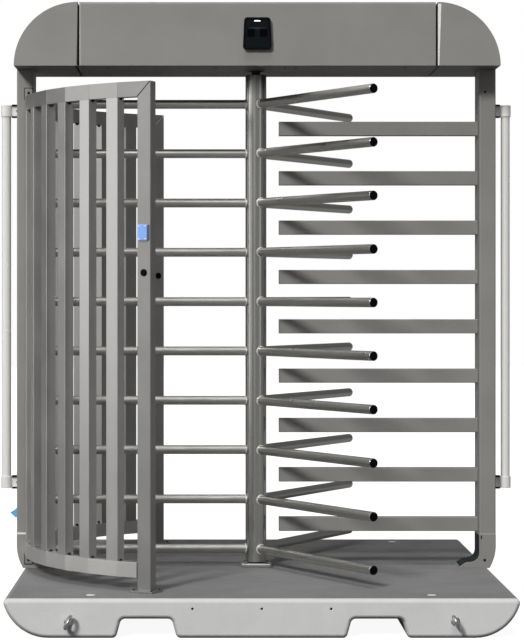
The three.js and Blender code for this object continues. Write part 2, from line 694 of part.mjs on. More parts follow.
// Locking pawls, and the solenoids that pull them in
function addPawls() {
  const pawl = pawlGeometry();
  const { start, length, width, axis, top, foot, bore, boreDepth } = SOLENOID;
  const [axisY, low] = [PAWL.y + PAWL_ARM.pinAt, BEAM.top + GAP];
  const along = (radius, from, to, sides) => rod(radius, from, to, sides).rotateY(Math.PI / 2);
  const solenoid = cut(
    join(
      block([start, -width / 2, low], [start + length, width / 2, top]),
      block([start - foot, -width / 2, low], [start + LAP, width / 2, low + foot]),
    ),
    along(bore, start - LAP, start + boreDepth, 12).translate(0, 0, axis),
  ).translate(0, axisY, 0);
  const { eye, slotX, slotY } = PLUNGER;
  const head = cut(
    block([-eye / 2, -eye / 2, PLUNGER.bottom], [eye / 2, eye / 2, PLUNGER.top]),
    block([-slotX / 2, -slotY / 2, PLUNGER.bottom - LAP], [slotX / 2, slotY / 2, PLUNGER.top + LAP]),
  );
  const plunger = join(
    head,
    along(PLUNGER.radius, eye / 2 - LAP, PLUNGER.length, 12).translate(0, 0, axis),
  ).translate(PAWL.x, axisY, 0);
  for (const side of SIDES) {
    const facing = (geometry) => (side.sign > 0 ? geometry : mirrored(geometry));
    add(`pawl_${side.name}`, facing(pawl), 'steel', 0.4, 0.9,
      placeAt(side.sign * PAWL.x, PAWL.y, HEAD_Z));
    add(`solenoid_${side.name}`, facing(solenoid), 'enclosure', 0.5, 0.4, placeAt(0, 0, HEAD_Z));
    add(`plunger_${side.name}`, facing(plunger), 'zinc', 0.3, 0.9, placeAt(0, 0, HEAD_Z));
  }
}

function addControlBox() {
  const { x, width, depth, height, lid, rim, corner } = CONTROL_BOX;
  const low = BEAM.top + GAP;
  const body = rectangle(x, 0, width - 2 * rim, depth - 2 * rim, corner);
  const box = join(
    raised(body, low, low + height - lid + LAP, 3),
    raised(rectangle(x, 0, width, depth, corner), low + height - lid, low + height, 3),
  );
  add('control_box', box.translate(0, 0, HEAD_Z), 'enclosure', 0.6, 0.1);
}

// Status display on the header's front: a tapered bezel round a sunk window
function addDisplay() {
  const { top, bottom, z, height, depth, corner, rim, recess } = DISPLAY;
  const taper = (margin) => outline([
    [margin - bottom / 2, margin, corner], [bottom / 2 - margin, margin, corner],
    [top / 2 - margin, height - margin, corner], [margin - top / 2, height - margin, corner],
  ]);
  const front = -HEAD.halfDepth - GAP - depth;
  const bezel = cut(
    stretched(taper(0), front, -HEAD.halfDepth - GAP),
    stretched(taper(rim), front - LAP, front + recess),
  );
  add('status_display', bezel.translate(0, 0, DECK_Z + z), 'black', 0.35, 0);
  const window = stretched(taper(rim + WINDOW.play), front + WINDOW.sunk, front + recess - GAP);
  add('display_window', window.translate(0, 0, DECK_Z + z), 'window', 0.1, 0);
}

// Card reader and push buttons on the cages' end posts
function addUserPieces() {
  for (const end of ENDS) {
    const { middle, turn } = cagePostFace(end);
    const at = (z) => placeAt(middle.x, middle.y, DECK_Z + z, turn);
    if (end.sign < 0) {
      const { width, height, depth, corner, step, face, z } = READER;
      const body = stretched(rectangle(0, 0, width, height, corner), -depth, -GAP);
      const raisedFace = rectangle(0, 0, width - 2 * step, height - 2 * step, corner);
      const front = stretched(raisedFace, -depth - face, LAP - depth);
      add('card_reader', join(body, front), 'reader', 0.4, 0, at(z));
    }
    const { cap, proud, stem, edge, rise, z } = BUTTON;
    const place = at(z);
    const [hole, barrel] = [cap + BEZEL.play, BEZEL.bore - GAP];
    const collar = turned([
      [hole, -BEZEL.depth], [barrel, -BEZEL.depth], [barrel, GAP], [BEZEL.radius, GAP],
      [BEZEL.radius, BEZEL.proud - BEZEL.rise], [BEZEL.radius - BEZEL.edge, BEZEL.proud],
      [hole, BEZEL.proud], [hole, -BEZEL.depth],
    ], 16).rotateX(Math.PI / 2);
    const press = turned([
      [0, -stem], [cap, -stem], [cap, proud - rise], [cap - edge, proud], [0, proud],
    ], 16).rotateX(Math.PI / 2);
    add(`button_bezel_${end.name}`, collar, 'black', 0.35, 0, place);
    add(`button_cap_${end.name}`, press, 'black', 0.3, 0, place);
  }
}

// Side tubes with sleeves and brackets that hold them off the posts
function addSideTubes() {
  const { x, radius, bottom, top, inset, sleeve, sleeveHeight } = SIDE_TUBE;
  const { height, thickness, pad, padThickness } = SIDE_BRACKET;
  const face = POST.inner + POST.width + GAP;
  const pieces = [rod(radius, bottom + inset, top - inset).translate(x, 0, 0)];
  for (const middle of [bottom + sleeveHeight / 2, top - sleeveHeight / 2]) {
    pieces.push(rod(sleeve, middle - sleeveHeight / 2, middle + sleeveHeight / 2).translate(x, 0, 0));
    const [low, high] = [middle - height / 2, middle + height / 2];
    pieces.push(block([face, -thickness / 2, low], [x - radius / 2, thickness / 2, high]));
    pieces.push(block([face, -pad / 2, low], [face + padThickness, pad / 2, high]));
  }
  addOnBothSides('side_tube', join(...pieces).translate(0, 0, DECK_Z), 'zinc', 0.45, 0.7);
}

// Power inlet on the left post: an angled housing whose socket opens down, under a hinged lid.
// It is drawn outwards from the right post's face and then mirrored.
function addInlet() {
  const { z, width, flange, flangeThickness, flangeCorner, wall } = INLET;
  const { out, up, pin, knuckle, swing, halfWidth, lidHalfWidth } = HINGE;
  const half = width / 2;
  const alongHinge = (radius, reach, sides) => (
    rod(radius, -reach, reach, sides).rotateX(Math.PI / 2).translate(out, 0, up));
  const [tip, heel] = [new THREE.Vector2(...WEDGE.tip), new THREE.Vector2(...WEDGE.heel)];
  const body = cut(
    join(
      lengthened(rectangle(0, 0, flange, flange, flangeCorner), 0, flangeThickness),
      stretched(outline([WEDGE.heel, WEDGE.tip, WEDGE.shoulder, WEDGE.top]), -half, half),
      block([tip.x - LAP, -halfWidth, tip.y], [out, halfWidth, up + knuckle - LAP]),
      alongHinge(knuckle, halfWidth, 12),
    ),
    stretched(outline(SOCKET), wall - half, half - wall),
    alongHinge(swing, lidHalfWidth + GAP, 16),
    alongHinge(pin + GAP, half, 8),
  );
  const slope = heel.clone().sub(tip).normalize();
  const outwards = new THREE.Vector2(-slope.y, slope.x);
  const onLid = (along, depth) => {
    const point = tip.clone().addScaledVector(slope, along).addScaledVector(outwards, depth);
    return [point.x, point.y];
  };
  const [near, far] = [LID.gap, LID.gap + LID.thickness];
  const flap = outline([onLid(LID.length, near), onLid(LID.length, far), onLid(0, far), onLid(0, near)]);
  const ear = outline([onLid(LAP / 2, near), onLid(LAP / 2, far), onLid(-LID.ear, far), [out, up]]);
  const cover = cut(
    join(
      stretched(flap, -half, half),
      stretched(ear, -lidHalfWidth, lidHalfWidth),
      alongHinge(knuckle, lidHalfWidth, 12),
    ),
    alongHinge(pin + GAP, half, 8),
  );
  const place = placeAt(-(POST.inner + POST.width + GAP), 0, DECK_Z + z);
  add('inlet_body', mirrored(body), 'inlet', 0.4, 0, place);
  add('inlet_lid', mirrored(cover), 'inlet', 0.4, 0, place);
  add('inlet_pin', mirrored(alongHinge(pin, halfWidth, 8)), 'zinc', 0.3, 0.9, place);
}

addBase();
addDeck();
addPlugs();
addEyeBolts();
addFeet();
addPosts();
addComb();
for (const end of ENDS) addCage(end);
addRotor();
addPivot();
addHeader();
addBeam();
addBearing();
addShaft();
addLockWheel();
addDamperDrive();
addPawls();
addControlBox();
addDisplay();
addUserPieces();
addSideTubes();
addInlet();

export default turnstile;
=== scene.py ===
"""Dresses a full height turnstile on a ballast base around its construction model."""

import json
import math

import bmesh
import bpy
from mathutils import Matrix, Vector


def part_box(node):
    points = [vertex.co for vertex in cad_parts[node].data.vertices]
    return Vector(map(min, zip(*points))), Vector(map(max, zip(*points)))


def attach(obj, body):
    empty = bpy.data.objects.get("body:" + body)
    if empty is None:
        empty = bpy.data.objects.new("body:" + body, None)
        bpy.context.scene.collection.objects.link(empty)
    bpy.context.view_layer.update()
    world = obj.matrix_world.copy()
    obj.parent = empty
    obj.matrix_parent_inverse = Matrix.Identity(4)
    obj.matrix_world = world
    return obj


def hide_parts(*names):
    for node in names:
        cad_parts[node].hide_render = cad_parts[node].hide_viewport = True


bl_info = {
    "name": "Full height turnstile",
    "version": (1, 0, 0),
    "blender": (4, 5, 0),
    "location": "3D View > Sidebar > Turnstile",
    "description": "Dresses a full height turnstile around its construction model",
    "category": "Object",
}

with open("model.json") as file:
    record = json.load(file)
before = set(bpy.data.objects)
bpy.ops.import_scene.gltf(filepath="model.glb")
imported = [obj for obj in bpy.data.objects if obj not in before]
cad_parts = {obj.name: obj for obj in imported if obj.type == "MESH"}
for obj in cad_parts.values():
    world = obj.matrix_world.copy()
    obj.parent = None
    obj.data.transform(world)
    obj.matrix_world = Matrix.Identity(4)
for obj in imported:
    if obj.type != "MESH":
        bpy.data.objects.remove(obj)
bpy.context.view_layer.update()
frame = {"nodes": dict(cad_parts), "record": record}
MM = 0.001

# Levels that the pieces are built from
DECK_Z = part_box("deck_plate")[1].z
HEAD_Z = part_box("header_soffit")[0].z
SIDES = {"left": -1, "right": 1}
ENDS = {"front": -1, "rear": 1}
CORNERS = [(f"{end}_{side}", ENDS[end], SIDES[side]) for end in ENDS for side in SIDES]

# Clearance between parts that meet, and the distance that counts as none
GAP, TOUCH = 0.3 * MM, 1e-6

# Section planes: an outline's x and y go to these axes, and its length to the third
FLAT = Matrix.Identity(4)
FACING_FRONT = Matrix(((1, 0, 0, 0), (0, 0, 1, 0), (0, 1, 0, 0), (0, 0, 0, 1)))
FACING_SIDE = Matrix(((0, 0, 1, 0), (1, 0, 0, 0), (0, 1, 0, 0), (0, 0, 0, 1)))

# Ballast block
BASE_HALF, BASE_FLAT = 988 * MM, 938 * MM
BASE_END_RADIUS = 180 * MM
BASE_CORNER = 18 * MM
BASE_EDGE = 17 * MM
FORK_CENTRE, FORK_MOUTH, FORK_TOP = 438 * MM, 116 * MM, 96 * MM
FORK_ROUND, FORK_HEIGHT = 20 * MM, 73 * MM
INSERT_PITCH, INSERT_Z, INSERT_RADIUS = 263 * MM, 112 * MM, 7 * MM
EYE_X, EYE_Z, EYE_LEAN = 733 * MM, 66 * MM, math.radians(25)
EYE_RING, EYE_WIRE, EYE_COLLAR, EYE_NECK = 23 * MM, 8 * MM, 17 * MM, 7 * MM
PLUG_X, PLUG_Y, PLUG_RADIUS = 655 * MM, 930 * MM, 27 * MM
# How far the deck's coating runs down the block's sides, and along them towards the front and rear.
# Its dark colour is painted shade of the block's top
COATING_DROP, COATING_END = 16 * MM, 1027 * MM

# Portal and comb
POST_INNER, POST_WIDTH, POST_DEPTH, POST_WALL = 939 * MM, 70 * MM, 160 * MM, 4 * MM
POST_OUTER = POST_INNER + POST_WIDTH
HOLE_X, HOLE_HEIGHT, HOLE_RADIUS = 963.7 * MM, 2006 * MM, 5 * MM
FOOT_HEIGHT, FOOT_TOE, FOOT_SKIN, FOOT_FLOOR = 142 * MM, 853 * MM, 3 * MM, 6 * MM
FOOT_MOUTH = 800 * MM
FOOT_GROOVE_X, FOOT_GROOVE_HEIGHT = 948 * MM, 130 * MM
FOOT_SCREW_X, FOOT_SCREW_HEIGHT = 962 * MM, 34 * MM
# The light strip on top of each foot, a painted highlight along its seam: its middle, width and height, its
# finish and its slot
FOOT_SEAM_HIGHLIGHTS = {
    "left": (989 * MM, 35 * MM, 7 * MM, "zinc_and_highlight", "zinc_plate"),
    "right": (974 * MM, 68 * MM, 2.6 * MM, "header_edge_highlight_coat", "post_paint"),
}
ARM_PITCH, FIRST_ARM, ARMS = 209.5 * MM, 74.5 * MM, 10
COMB_WALL = 3 * MM
WELD_RIPPLE = 0.2 * MM

# Guard cages
CAGE_RADIUS, FACET, CAGE_DEPTH, CAGE_FACE = 980 * MM, 150 * MM, 40 * MM, 60 * MM
LAST_JOINT = math.radians(64.2)
FACET_STEP = 2 * math.asin(FACET / 2 / CAGE_RADIUS)
CAGE_BARS = 6
MITRE_GAP = 3 * MM
RAIL_BOTTOM, RAIL_TOP, RAIL_HEIGHT, RAIL_END = 55 * MM, 1920 * MM, 60 * MM, 84 * MM
VENT_RADIUS, VENT_LENGTH = 10 * MM, 75 * MM
FLANGE_MARGIN, FLANGE_THICKNESS, FLANGE_BOLT = 20 * MM, 8 * MM, 10 * MM
CLIP_X, CLIP_WIDTH, CLIP_THICKNESS = 959 * MM, 32 * MM, 5 * MM

# Rotor and its pivot
COLUMN_RADIUS, COLUMN_BOTTOM, COLUMN_TOP = 44.45 * MM, 20 * MM, 2083 * MM
BORE_RADIUS, BORE_DEPTH, TOP_RECESS = 21 * MM, 42 * MM, 10 * MM
# Heights between which the rotor's stainless darkens towards its top, as painted shade under the header
SHADE_FROM, SHADE_FULL = 1990 * MM, 2065 * MM
ARM_RADIUS, ARM_REACH = 19 * MM, 890 * MM
WINGS = (180, 300, 60)
# The pivot plate's thickness, the height of the light strips painted as highlights on its edges, and its
# screws' spacing
PIVOT_THICKNESS, PIVOT_HIGHLIGHT, PIVOT_SCREW = 15 * MM, 5 * MM, 48 * MM

# Header
HEAD_HEIGHT, HEAD_HALF, HEAD_DEPTH = 264 * MM, 1008 * MM, 250 * MM
HEAD_SHEET, HEAD_BEND = 3 * MM, 8 * MM
COVER_FROM, COVER_TO = -736.5 * MM, 739.5 * MM
CAP_SEAM = {"left": 743.5 * MM, "right": 747.5 * MM}
CAP_FOLD, CAP_RETURN = 7 * MM, 10 * MM
GASKET_RECESS, GASKET_DROP = 3 * MM, 13 * MM
SOFFIT_SCREWS = [(x * MM, y * MM) for x in (-620, -170, 120, 162, 620) for y in (-170, -120, 170)]

# Status display, reader and buttons
DISPLAY_TOP, DISPLAY_RIM, DISPLAY_CORNER = 108 * MM, 9 * MM, 14 * MM
READER_HEIGHT, READER_FACE, BUTTON_HEIGHT = 1393 * MM, 13.2 * MM, 1238 * MM

# Side tubes and their brackets
TUBE_X, TUBE_RADIUS, TUBE_LOW, TUBE_HIGH = 1059 * MM, 19 * MM, 332 * MM, 1955 * MM
SLEEVE_RADIUS, SLEEVE_HEIGHT = 23 * MM, 49 * MM
BRACKET_HALF, BRACKET_PAD = 21 * MM, 4 * MM

# Camera, found from the columns, rails and deck edges of the photograph
LENS, SENSOR = 127.9, 36.0
CAMERA_AT = (-0.208, -9.66, 1.315)
CAMERA_SHIFT = (0.086, -0.0445)

# Grey cards round the object that only its reflections show: from and to which bearing from the front in
# degrees, with left negative, how high in metres, and how light. They bend every few degrees
CARD_RADIUS, CARD_STEP = 15, 4
CARDS = (
    (-180, -170, 30, 0.04), (-170, -106, 9, 0.17), (-106, -68, 14, 1.45), (-68, -48, 14, 0.85),
    (-48, -8, 14, 0.42), (-8, 38, 14, 0.26), (38, 56, 14, 0.52), (56, 80, 14, 0.17),
    (80, 170, 14, 0.13), (170, 180, 30, 0.04),
)
FLOOR_CARD = 0.25
CEILING, CEILING_CARD = 14, 0.45

# Lamps: bearing from the front, height and spread in degrees, strength, and whether reflections show it
LAMPS = {
    "key_light": (-27, 31, 11, 2.45, True),
    "top_light": (-8, 68, 16, 1.0, True),
    "left_back_fill": (-150, 4, 16, 0.8, False),
    "right_back_fill": (120, 4, 16, 0.8, False),
}
LAMP_DISTANCE = 8

# Light of the world on matt surfaces. Where it is seen itself it is white, at a strength of 1
WORLD_LIGHT = 0.17
# Floor: its width, its shade as matt surfaces and as the eye take it, and the strength and share of its glow
FLOOR_WIDTH, FLOOR_SHADE, FLOOR_SEEN, FLOOR_GLOW, FLOOR_SHARE = 60, 0.10, 0.8, 1.3, 0.72

# Spans that hold nearly all the values of one noise, and of two that are mixed
NOISE_SPAN, MIXED_SPAN = (0.3, 0.7), (0.35, 0.65)
ORANGE_PEEL = 2.5 * MM


def linear(code):
    """A colour written as an sRGB hex value, as linear red, green, blue."""
    parts = [int(code[i:i + 2], 16) / 255 for i in (1, 3, 5)]
    return [p / 12.92 if p <= 0.04045 else ((p + 0.055) / 1.055) ** 2.4 for p in parts]


def colour(name, code, description):
    """A colour that the user can change."""
    return bpy.props.FloatVectorProperty(
        name=name, description=description, default=linear(code), min=0, max=1, subtype="COLOR", size=3)


def length(name, millimetres, description):
    """A length that the user can change."""
    return bpy.props.FloatProperty(
        name=name, description=description, default=millimetres * MM, min=0, unit="LENGTH", precision=4)


class TurnstileColours(bpy.types.PropertyGroup):
    """Colours of the turnstile's finishes."""

    concrete: colour("Concrete", "#CCCCCB", "Cast ballast block")
    # The deck sheet and its coating are real; its dark colour stands in for the shade of the block's top, as
    # painted shade
    deck: colour("Deck", "#818181", "Gritted coating of the deck sheet")
    post: colour("Posts", "#8A8885", "Powder coat of the posts, feet and comb")
    cage: colour("Cages", "#A3A2A0", "Metallic coat of the cages' top rails, end posts and rear bars")
    # Painted light: lighter copies of the cages' coat, for the front cage's bars and for the bottom rails
    cage_bar: colour("Cage bars", "#B9B8B6", "The front cage's upright bars, coated a shade lighter")
    cage_low: colour("Bottom rails", "#D6D5D2", "The cages' bottom rails, coated lightest")
    header: colour("Header", "#8B8986", "Powder coat of the header housing")
    # Painted highlight: a lighter copy of the header's coat, for the folds beside the seams
    header_edge: colour("Header edges", "#A9A7A4", "The header's folded edges beside its seams")
    # Painted shade: the underside's coat is a darker copy of the header's
    soffit: colour("Soffit", "#686664", "Powder coat of the header's underside")
    stainless: colour("Stainless", "#C6C5C1", "Satin polished rotor")
    tube: colour("Side tubes", "#ECEBE8", "Bright anodised side tubes")
    zinc: colour("Zinc", "#B4B5B6", "Zinc plated eye bolts")
    # Real zinc on the plugs, insert rims and reader screws; on the wear strips, seam edge, foot seam strip
    # and welds this bright finish is painted highlight
    zinc_and_highlight: colour("Clear zinc", "#F2F2F0", "Passivated plugs, wear strips, seam edge and welds")
    steel: colour("Machined steel", "#A09E9B", "Mechanism in the header")
    oxide: colour("Black oxide", "#1C1C1E", "Blackened screws and bolts")
    bronze: colour("Bronze", "#B59A57", "Top bearing")
    liner: colour("Liner", "#172125", "Rubber liners in the feet, and the display's band")
    plastic: colour("Black plastic", "#08080A", "Plugs, gaskets, bezels and buttons")
    glass: colour("Display", "#12161A", "Window of the status display")
    reader: colour("Reader", "#8FB8FF", "Front of the card reader")
    inlet: colour("Inlet", "#62ABDA", "Power inlet and its lid")
    enclosure: colour("Enclosure", "#5D6064", "Control box and solenoids")


class TurnstileSizes(bpy.types.PropertyGroup):
    """Sizes of the turnstile's small details."""

    tube_corner: length("Tube corner", 2.5, "Outside corner radius of the box sections")
    fold: length("Fold", 1.2, "Rounding of sheet metal edges")
    weld: length("Weld", 2.2, "Radius of the weld beads")
    screw: length("Screw", 6.0, "Radius of the screw heads")


def sizes():
    return bpy.context.scene.turnstile_sizes


# Meshes


def outline(corners, steps=8):
    """Points round a closed outline of (x, y) or (x, y, radius) corners, each radius in that many steps."""
    points = []
    count = len(corners)
    for index, (x, y, *rounding) in enumerate(corners):
        corner = Vector((x, y))
        if not rounding or not rounding[0]:
            points.append(corner)
            continue
        before = (Vector(corners[index - 1][:2]) - corner).normalized()
        after = (Vector(corners[(index + 1) % count][:2]) - corner).normalized()
        half = before.angle(after) / 2
        middle = corner + (before + after).normalized() * rounding[0] / math.sin(half)
        start = corner + before * rounding[0] / math.tan(half) - middle
        turn = math.copysign(math.pi - 2 * half, -before.cross(after))
        for step in range(steps + 1):
            points.append(middle + Matrix.Rotation(turn * step / steps, 2) @ start)
    return points


def rectangle(x, y, width, height, rounding=0.0, steps=6):
    a, b = width / 2, height / 2
    corners = [(x - a, y - b), (x + a, y - b), (x + a, y + b), (x - a, y + b)]
    return outline([(*corner, rounding) for corner in corners], steps)


def circle(radius, sides, x=0.0, y=0.0):
    turns = [2 * math.pi * i / sides for i in range(sides)]
    return [Vector((x + radius * math.cos(t), y + radius * math.sin(t))) for t in turns]


def join(bm, near, far):
    """Faces between two rings of equally many points."""
    for i in range(len(near)):
        j = (i + 1) % len(near)
        bm.faces.new((near[i], near[j], far[j], far[i]))


def prism(bm, outer, low, high, place=FLAT, inner=None):
    """A bar of one section from low to high along the place's Z. An inner outline makes it a tube."""
    loops = [outer] if inner is None else [outer, inner]
    rings = [
        [[bm.verts.new(place @ Vector((x, y, z))) for x, y in loop] for z in (low, high)] for loop in loops
    ]
    for bottom, top in rings:
        join(bm, bottom, top)
    for end in (0, 1):
        if inner is None:
            bm.faces.new(rings[0][end])
        else:
            join(bm, rings[0][end], rings[1][end])


def eight_corners(bm, points):
    """A solid between four points in turn on its outer face and the four points behind them."""
    verts = [bm.verts.new(point) for point in points]
    for face in ((0, 1, 2, 3), (4, 5, 6, 7), (0, 1, 5, 4), (1, 2, 6, 5), (2, 3, 7, 6), (3, 0, 4, 7)):
        bm.faces.new([verts[i] for i in face])


def inset(points, distance):
    """A counter-clockwise outline moved inwards by a distance."""
    moved = []
    for index, point in enumerate(points):
        before = (point - points[index - 1]).normalized()
        after = (points[(index + 1) % len(points)] - point).normalized()
        bisector = Vector((-before.y - after.y, before.x + after.x)).normalized()
        moved.append(point + bisector * distance / max(0.2, bisector.dot(Vector((-before.y, before.x)))))
    return moved


def pillowed(bm, outer, low, high, radius, steps, place=FLAT):
    """A bar of one section whose two rims are rounded over."""
    turns = [math.pi / 2 * i / steps for i in range(steps + 1)]
    levels = [(low + radius - radius * math.sin(t), radius - radius * math.cos(t)) for t in reversed(turns)]
    levels += [(high - radius + radius * math.sin(t), radius - radius * math.cos(t)) for t in turns]
    rings = [[bm.verts.new(place @ Vector((x, y, z))) for x, y in inset(outer, d)] for z, d in levels]
    for near, far in zip(rings, rings[1:]):
        join(bm, near, far)
    bm.faces.new(rings[0])
    bm.faces.new(rings[-1])


def turned(bm, profile, sides, place=FLAT, closed=False):
    """A profile of (radius, height) pairs turned about the place's Z. A radius of 0 is a point on it."""
    rings = []
    for radius, height in profile:
        if radius < TOUCH:
            rings.append([bm.verts.new(place @ Vector((0, 0, height)))])
            continue
        rings.append([bm.verts.new(place @ Vector((x, y, height))) for x, y in circle(radius, sides)])
    pairs = list(zip(rings, rings[1:]))
    if closed:
        pairs.append((rings[-1], rings[0]))
    for low, high in pairs:
        for i in range(sides):
            j = (i + 1) % sides
            corners = (low[i % len(low)], low[j % len(low)], high[j % len(high)], high[i % len(high)])
            bm.faces.new(list(dict.fromkeys(corners)))


def weld_bead(bm, path, radius, sides=8):
    """A round bead along a closed path of points, its radius rippling as a weld's does."""
    rings = []
    for index, point in enumerate(path):
        ahead = path[(index + 1) % len(path)] - path[index - 1]
        turn = ahead.to_track_quat("Z", "Y").to_matrix()
        swell = radius + WELD_RIPPLE * math.sin(index * math.pi / 2)
        rings.append([bm.verts.new(point + turn @ Vector((x, y, 0))) for x, y in circle(swell, sides)])
    for low, high in zip(rings, rings[1:] + rings[:1]):
        shift = min(range(sides), key=lambda s: (low[0].co - high[s].co).length)
        join(bm, low, high[shift:] + high[:shift])


def round_edges(bm, edges, radius, segments):
    """Rounds some of a mesh's edges."""
    bmesh.ops.recalc_face_normals(bm, faces=bm.faces)
    bmesh.ops.bevel(bm, geom=edges, offset=radius, segments=segments, profile=0.5, affect="EDGES")


def new_object(name, bm):
    """A mesh made into an object of the scene."""
    mesh = bpy.data.meshes.new(name)
    bm.to_mesh(mesh)
    bm.free()
    made = bpy.data.objects.new(name, mesh)
    bpy.context.scene.collection.objects.link(made)
    return made


def carve(bm, cutters):
    """Takes the cutters' solid out of a mesh, and gives the rest back as a new bmesh."""
    made = []
    for name, source in (("carved", bm), ("cutter", cutters)):
        bmesh.ops.recalc_face_normals(source, faces=source.faces)
        made.append(new_object(name, source))
    cut = made[0].modifiers.new("Cut", "BOOLEAN")
    cut.object = made[1]
    cut.operation = "DIFFERENCE"
    cut.solver = "EXACT"
    cut.use_self = True
    ready = made[0].evaluated_get(bpy.context.evaluated_depsgraph_get())
    left = bmesh.new()
    left.from_mesh(ready.to_mesh())
    ready.to_mesh_clear()
    for each in made:
        mesh = each.data
        bpy.data.objects.remove(each)
        bpy.data.meshes.remove(mesh)
    return left


def piece(name, bm, finish, body="frame", stands_for=(), rounding=0.0, segments=3, sharp=32):
    """Makes one piece of the object from a mesh, with its edges rounded, and lets it ride on its body."""
    bmesh.ops.recalc_face_normals(bm, faces=bm.faces)
    made = new_object(name, bm)
    made.data.shade_smooth()
    made.data.set_sharp_from_angle(angle=math.radians(sharp))
    made.data.materials.append(bpy.data.materials[finish])
    if rounding:
        soft = made.modifiers.new("Rounding", "BEVEL")
        soft.width = rounding
        soft.segments = segments
        soft.limit_method = "ANGLE"
        soft.angle_limit = math.radians(sharp)
    flat = made.modifiers.new("Flat faces", "WEIGHTED_NORMAL")
    flat.weight = 100
    flat.keep_sharp = True
    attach(made, body)
    if stands_for:
        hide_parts(*stands_for)
    return made


def pan_head(bm, place, radius, height, sides=24):
    """A pan head screw with a socket, standing on the place's Z = 0."""
    socket = radius * 0.45
    turned(bm, [
        (0, height * 0.35), (socket, height * 0.35), (socket, height * 0.96), (radius * 0.72, height * 0.92),
        (radius * 0.95, height * 0.6), (radius, height * 0.25), (radius, -0.5 * MM), (0, -0.5 * MM),
    ], sides, place)


def facing(x, y, z, direction):
    """A place whose Z points along a direction."""
    turn = Vector(direction).to_track_quat("Z", "Y").to_matrix().to_4x4()
    return Matrix.Translation((x, y, z)) @ turn


# Materials


def add_node(tree, kind, settings=None, inputs=None):
    """Adds a node with its settings. Its inputs are given by name or number, as values or as links."""
    made = tree.nodes.new(kind)
    for key, value in (settings or {}).items():
        setattr(made, key, value)
    for key, value in (inputs or {}).items():
        if isinstance(value, bpy.types.NodeSocket):
            tree.links.new(value, made.inputs[key])
        else:
            made.inputs[key].default_value = value
    return made


def start_material(name, metallic=0.0):
    """A new material's tree, its surface shader and the place of each point on the object, in metres."""
    made = bpy.data.materials.new(name)
    if made.name != name:
        raise ValueError(f"the frame already has a material named {name}")
    made.use_nodes = True
    tree = made.node_tree
    surface = tree.nodes["Principled BSDF"]
    surface.inputs["Metallic"].default_value = metallic
    place = add_node(tree, "ShaderNodeTexCoord").outputs["Object"]
    return tree, surface, place


def shaded(tree, base, low, high, factor):
    """The base colour made darker and lighter, between two strengths, by a factor from 0 to 1."""
    shades = [[min(1, c * strength) for c in base] + [1] for strength in (low, high)]
    return add_node(tree, "ShaderNodeMix", {"data_type": "RGBA"}, {
        "Factor": factor, "A": shades[0], "B": shades[1]}).outputs["Result"]


def ranged(tree, value, low, high, new_low, new_high):
    """A value from the new low to the new high, as another one goes from low to high."""
    return add_node(tree, "ShaderNodeMapRange", {}, {
        "Value": value, "From Min": low, "From Max": high, "To Min": new_low, "To Max": new_high,
    }).outputs["Result"]


def cast_concrete(paint):
    # Precast concrete from a steel mould: pale and matt, with clouds of cement paste a hand wide, sand grains
    # drawn 4 mm wide so that they show, and air holes of about 2 mm. The deck's coating runs on over its side
    # margins, as far as the rounding of the front and rear; its dark colour there is painted shade of the
    # top.
    # Faces turned to the ground are darkened with painted shade
    tree, surface, place = start_material("cast_concrete")
    clouds, sand, grain = [
        add_node(tree, "ShaderNodeTexNoise", {}, {
            "Vector": place, "Scale": scale, "Detail": detail}).outputs["Fac"]
        for scale, detail in ((11, 5), (240, 3), (450, 4))
    ]
    holes = add_node(tree, "ShaderNodeTexVoronoi", {}, {"Vector": place, "Scale": 42}).outputs["Distance"]
    pits = ranged(tree, holes, 0.03, 0.07, 0, 1)
    tone = add_node(tree, "ShaderNodeMix", {}, {"Factor": 0.55, "A": clouds, "B": sand}).outputs["Result"]
    base = shaded(tree, paint.concrete, 0.95, 1.05, ranged(tree, tone, *MIXED_SPAN, 0, 1))
    speckled = add_node(tree, "ShaderNodeMix", {"data_type": "RGBA", "blend_type": "MULTIPLY"}, {
        "Factor": 0.35, "A": base, "B": pits}).outputs["Result"]
    # Painted shade: the block's top margins, down into the side rounding, take the deck's dark colour
    axes = add_node(tree, "ShaderNodeSeparateXYZ", {}, {"Vector": place}).outputs
    high = add_node(tree, "ShaderNodeMath", {"operation": "GREATER_THAN"}, {
        0: axes["Z"], 1: DECK_Z - COATING_DROP}).outputs[0]
    out = add_node(tree, "ShaderNodeMath", {"operation": "ABSOLUTE"}, {0: axes["Y"]}).outputs[0]
    inside = add_node(tree, "ShaderNodeMath", {"operation": "LESS_THAN"}, {
        0: out, 1: COATING_END}).outputs[0]
    coated = add_node(tree, "ShaderNodeMath", {"operation": "MULTIPLY"}, {0: high, 1: inside}).outputs[0]
    coating = add_node(tree, "ShaderNodeMix", {"data_type": "RGBA"}, {
        "Factor": coated, "A": speckled, "B": (*paint.deck, 1)}).outputs["Result"]
    # Painted shade: faces turned towards the ground are darkened, down to a fifth of the colour where they
    # face straight down
    turned_down = add_node(tree, "ShaderNodeSeparateXYZ", {}, {
        "Vector": add_node(tree, "ShaderNodeTexCoord").outputs["Normal"]}).outputs["Z"]
    underside_shade = ranged(tree, turned_down, -0.75, -0.05, 0.2, 1)
    shaded_concrete = add_node(tree, "ShaderNodeMix", {"data_type": "RGBA", "blend_type": "MULTIPLY"}, {
        "Factor": 1.0, "A": coating, "B": underside_shade}).outputs["Result"]
    tree.links.new(shaded_concrete, surface.inputs["Base Color"])
    tree.links.new(ranged(tree, grain, *NOISE_SPAN, 0.78, 0.92), surface.inputs["Roughness"])
    height = add_node(tree, "ShaderNodeMath", {"operation": "MULTIPLY"}, {0: grain, 1: pits}).outputs[0]
    relief = add_node(tree, "ShaderNodeBump", {}, {"Height": height, "Strength": 0.35, "Distance": 0.0006})
    tree.links.new(relief.outputs["Normal"], surface.inputs["Normal"])


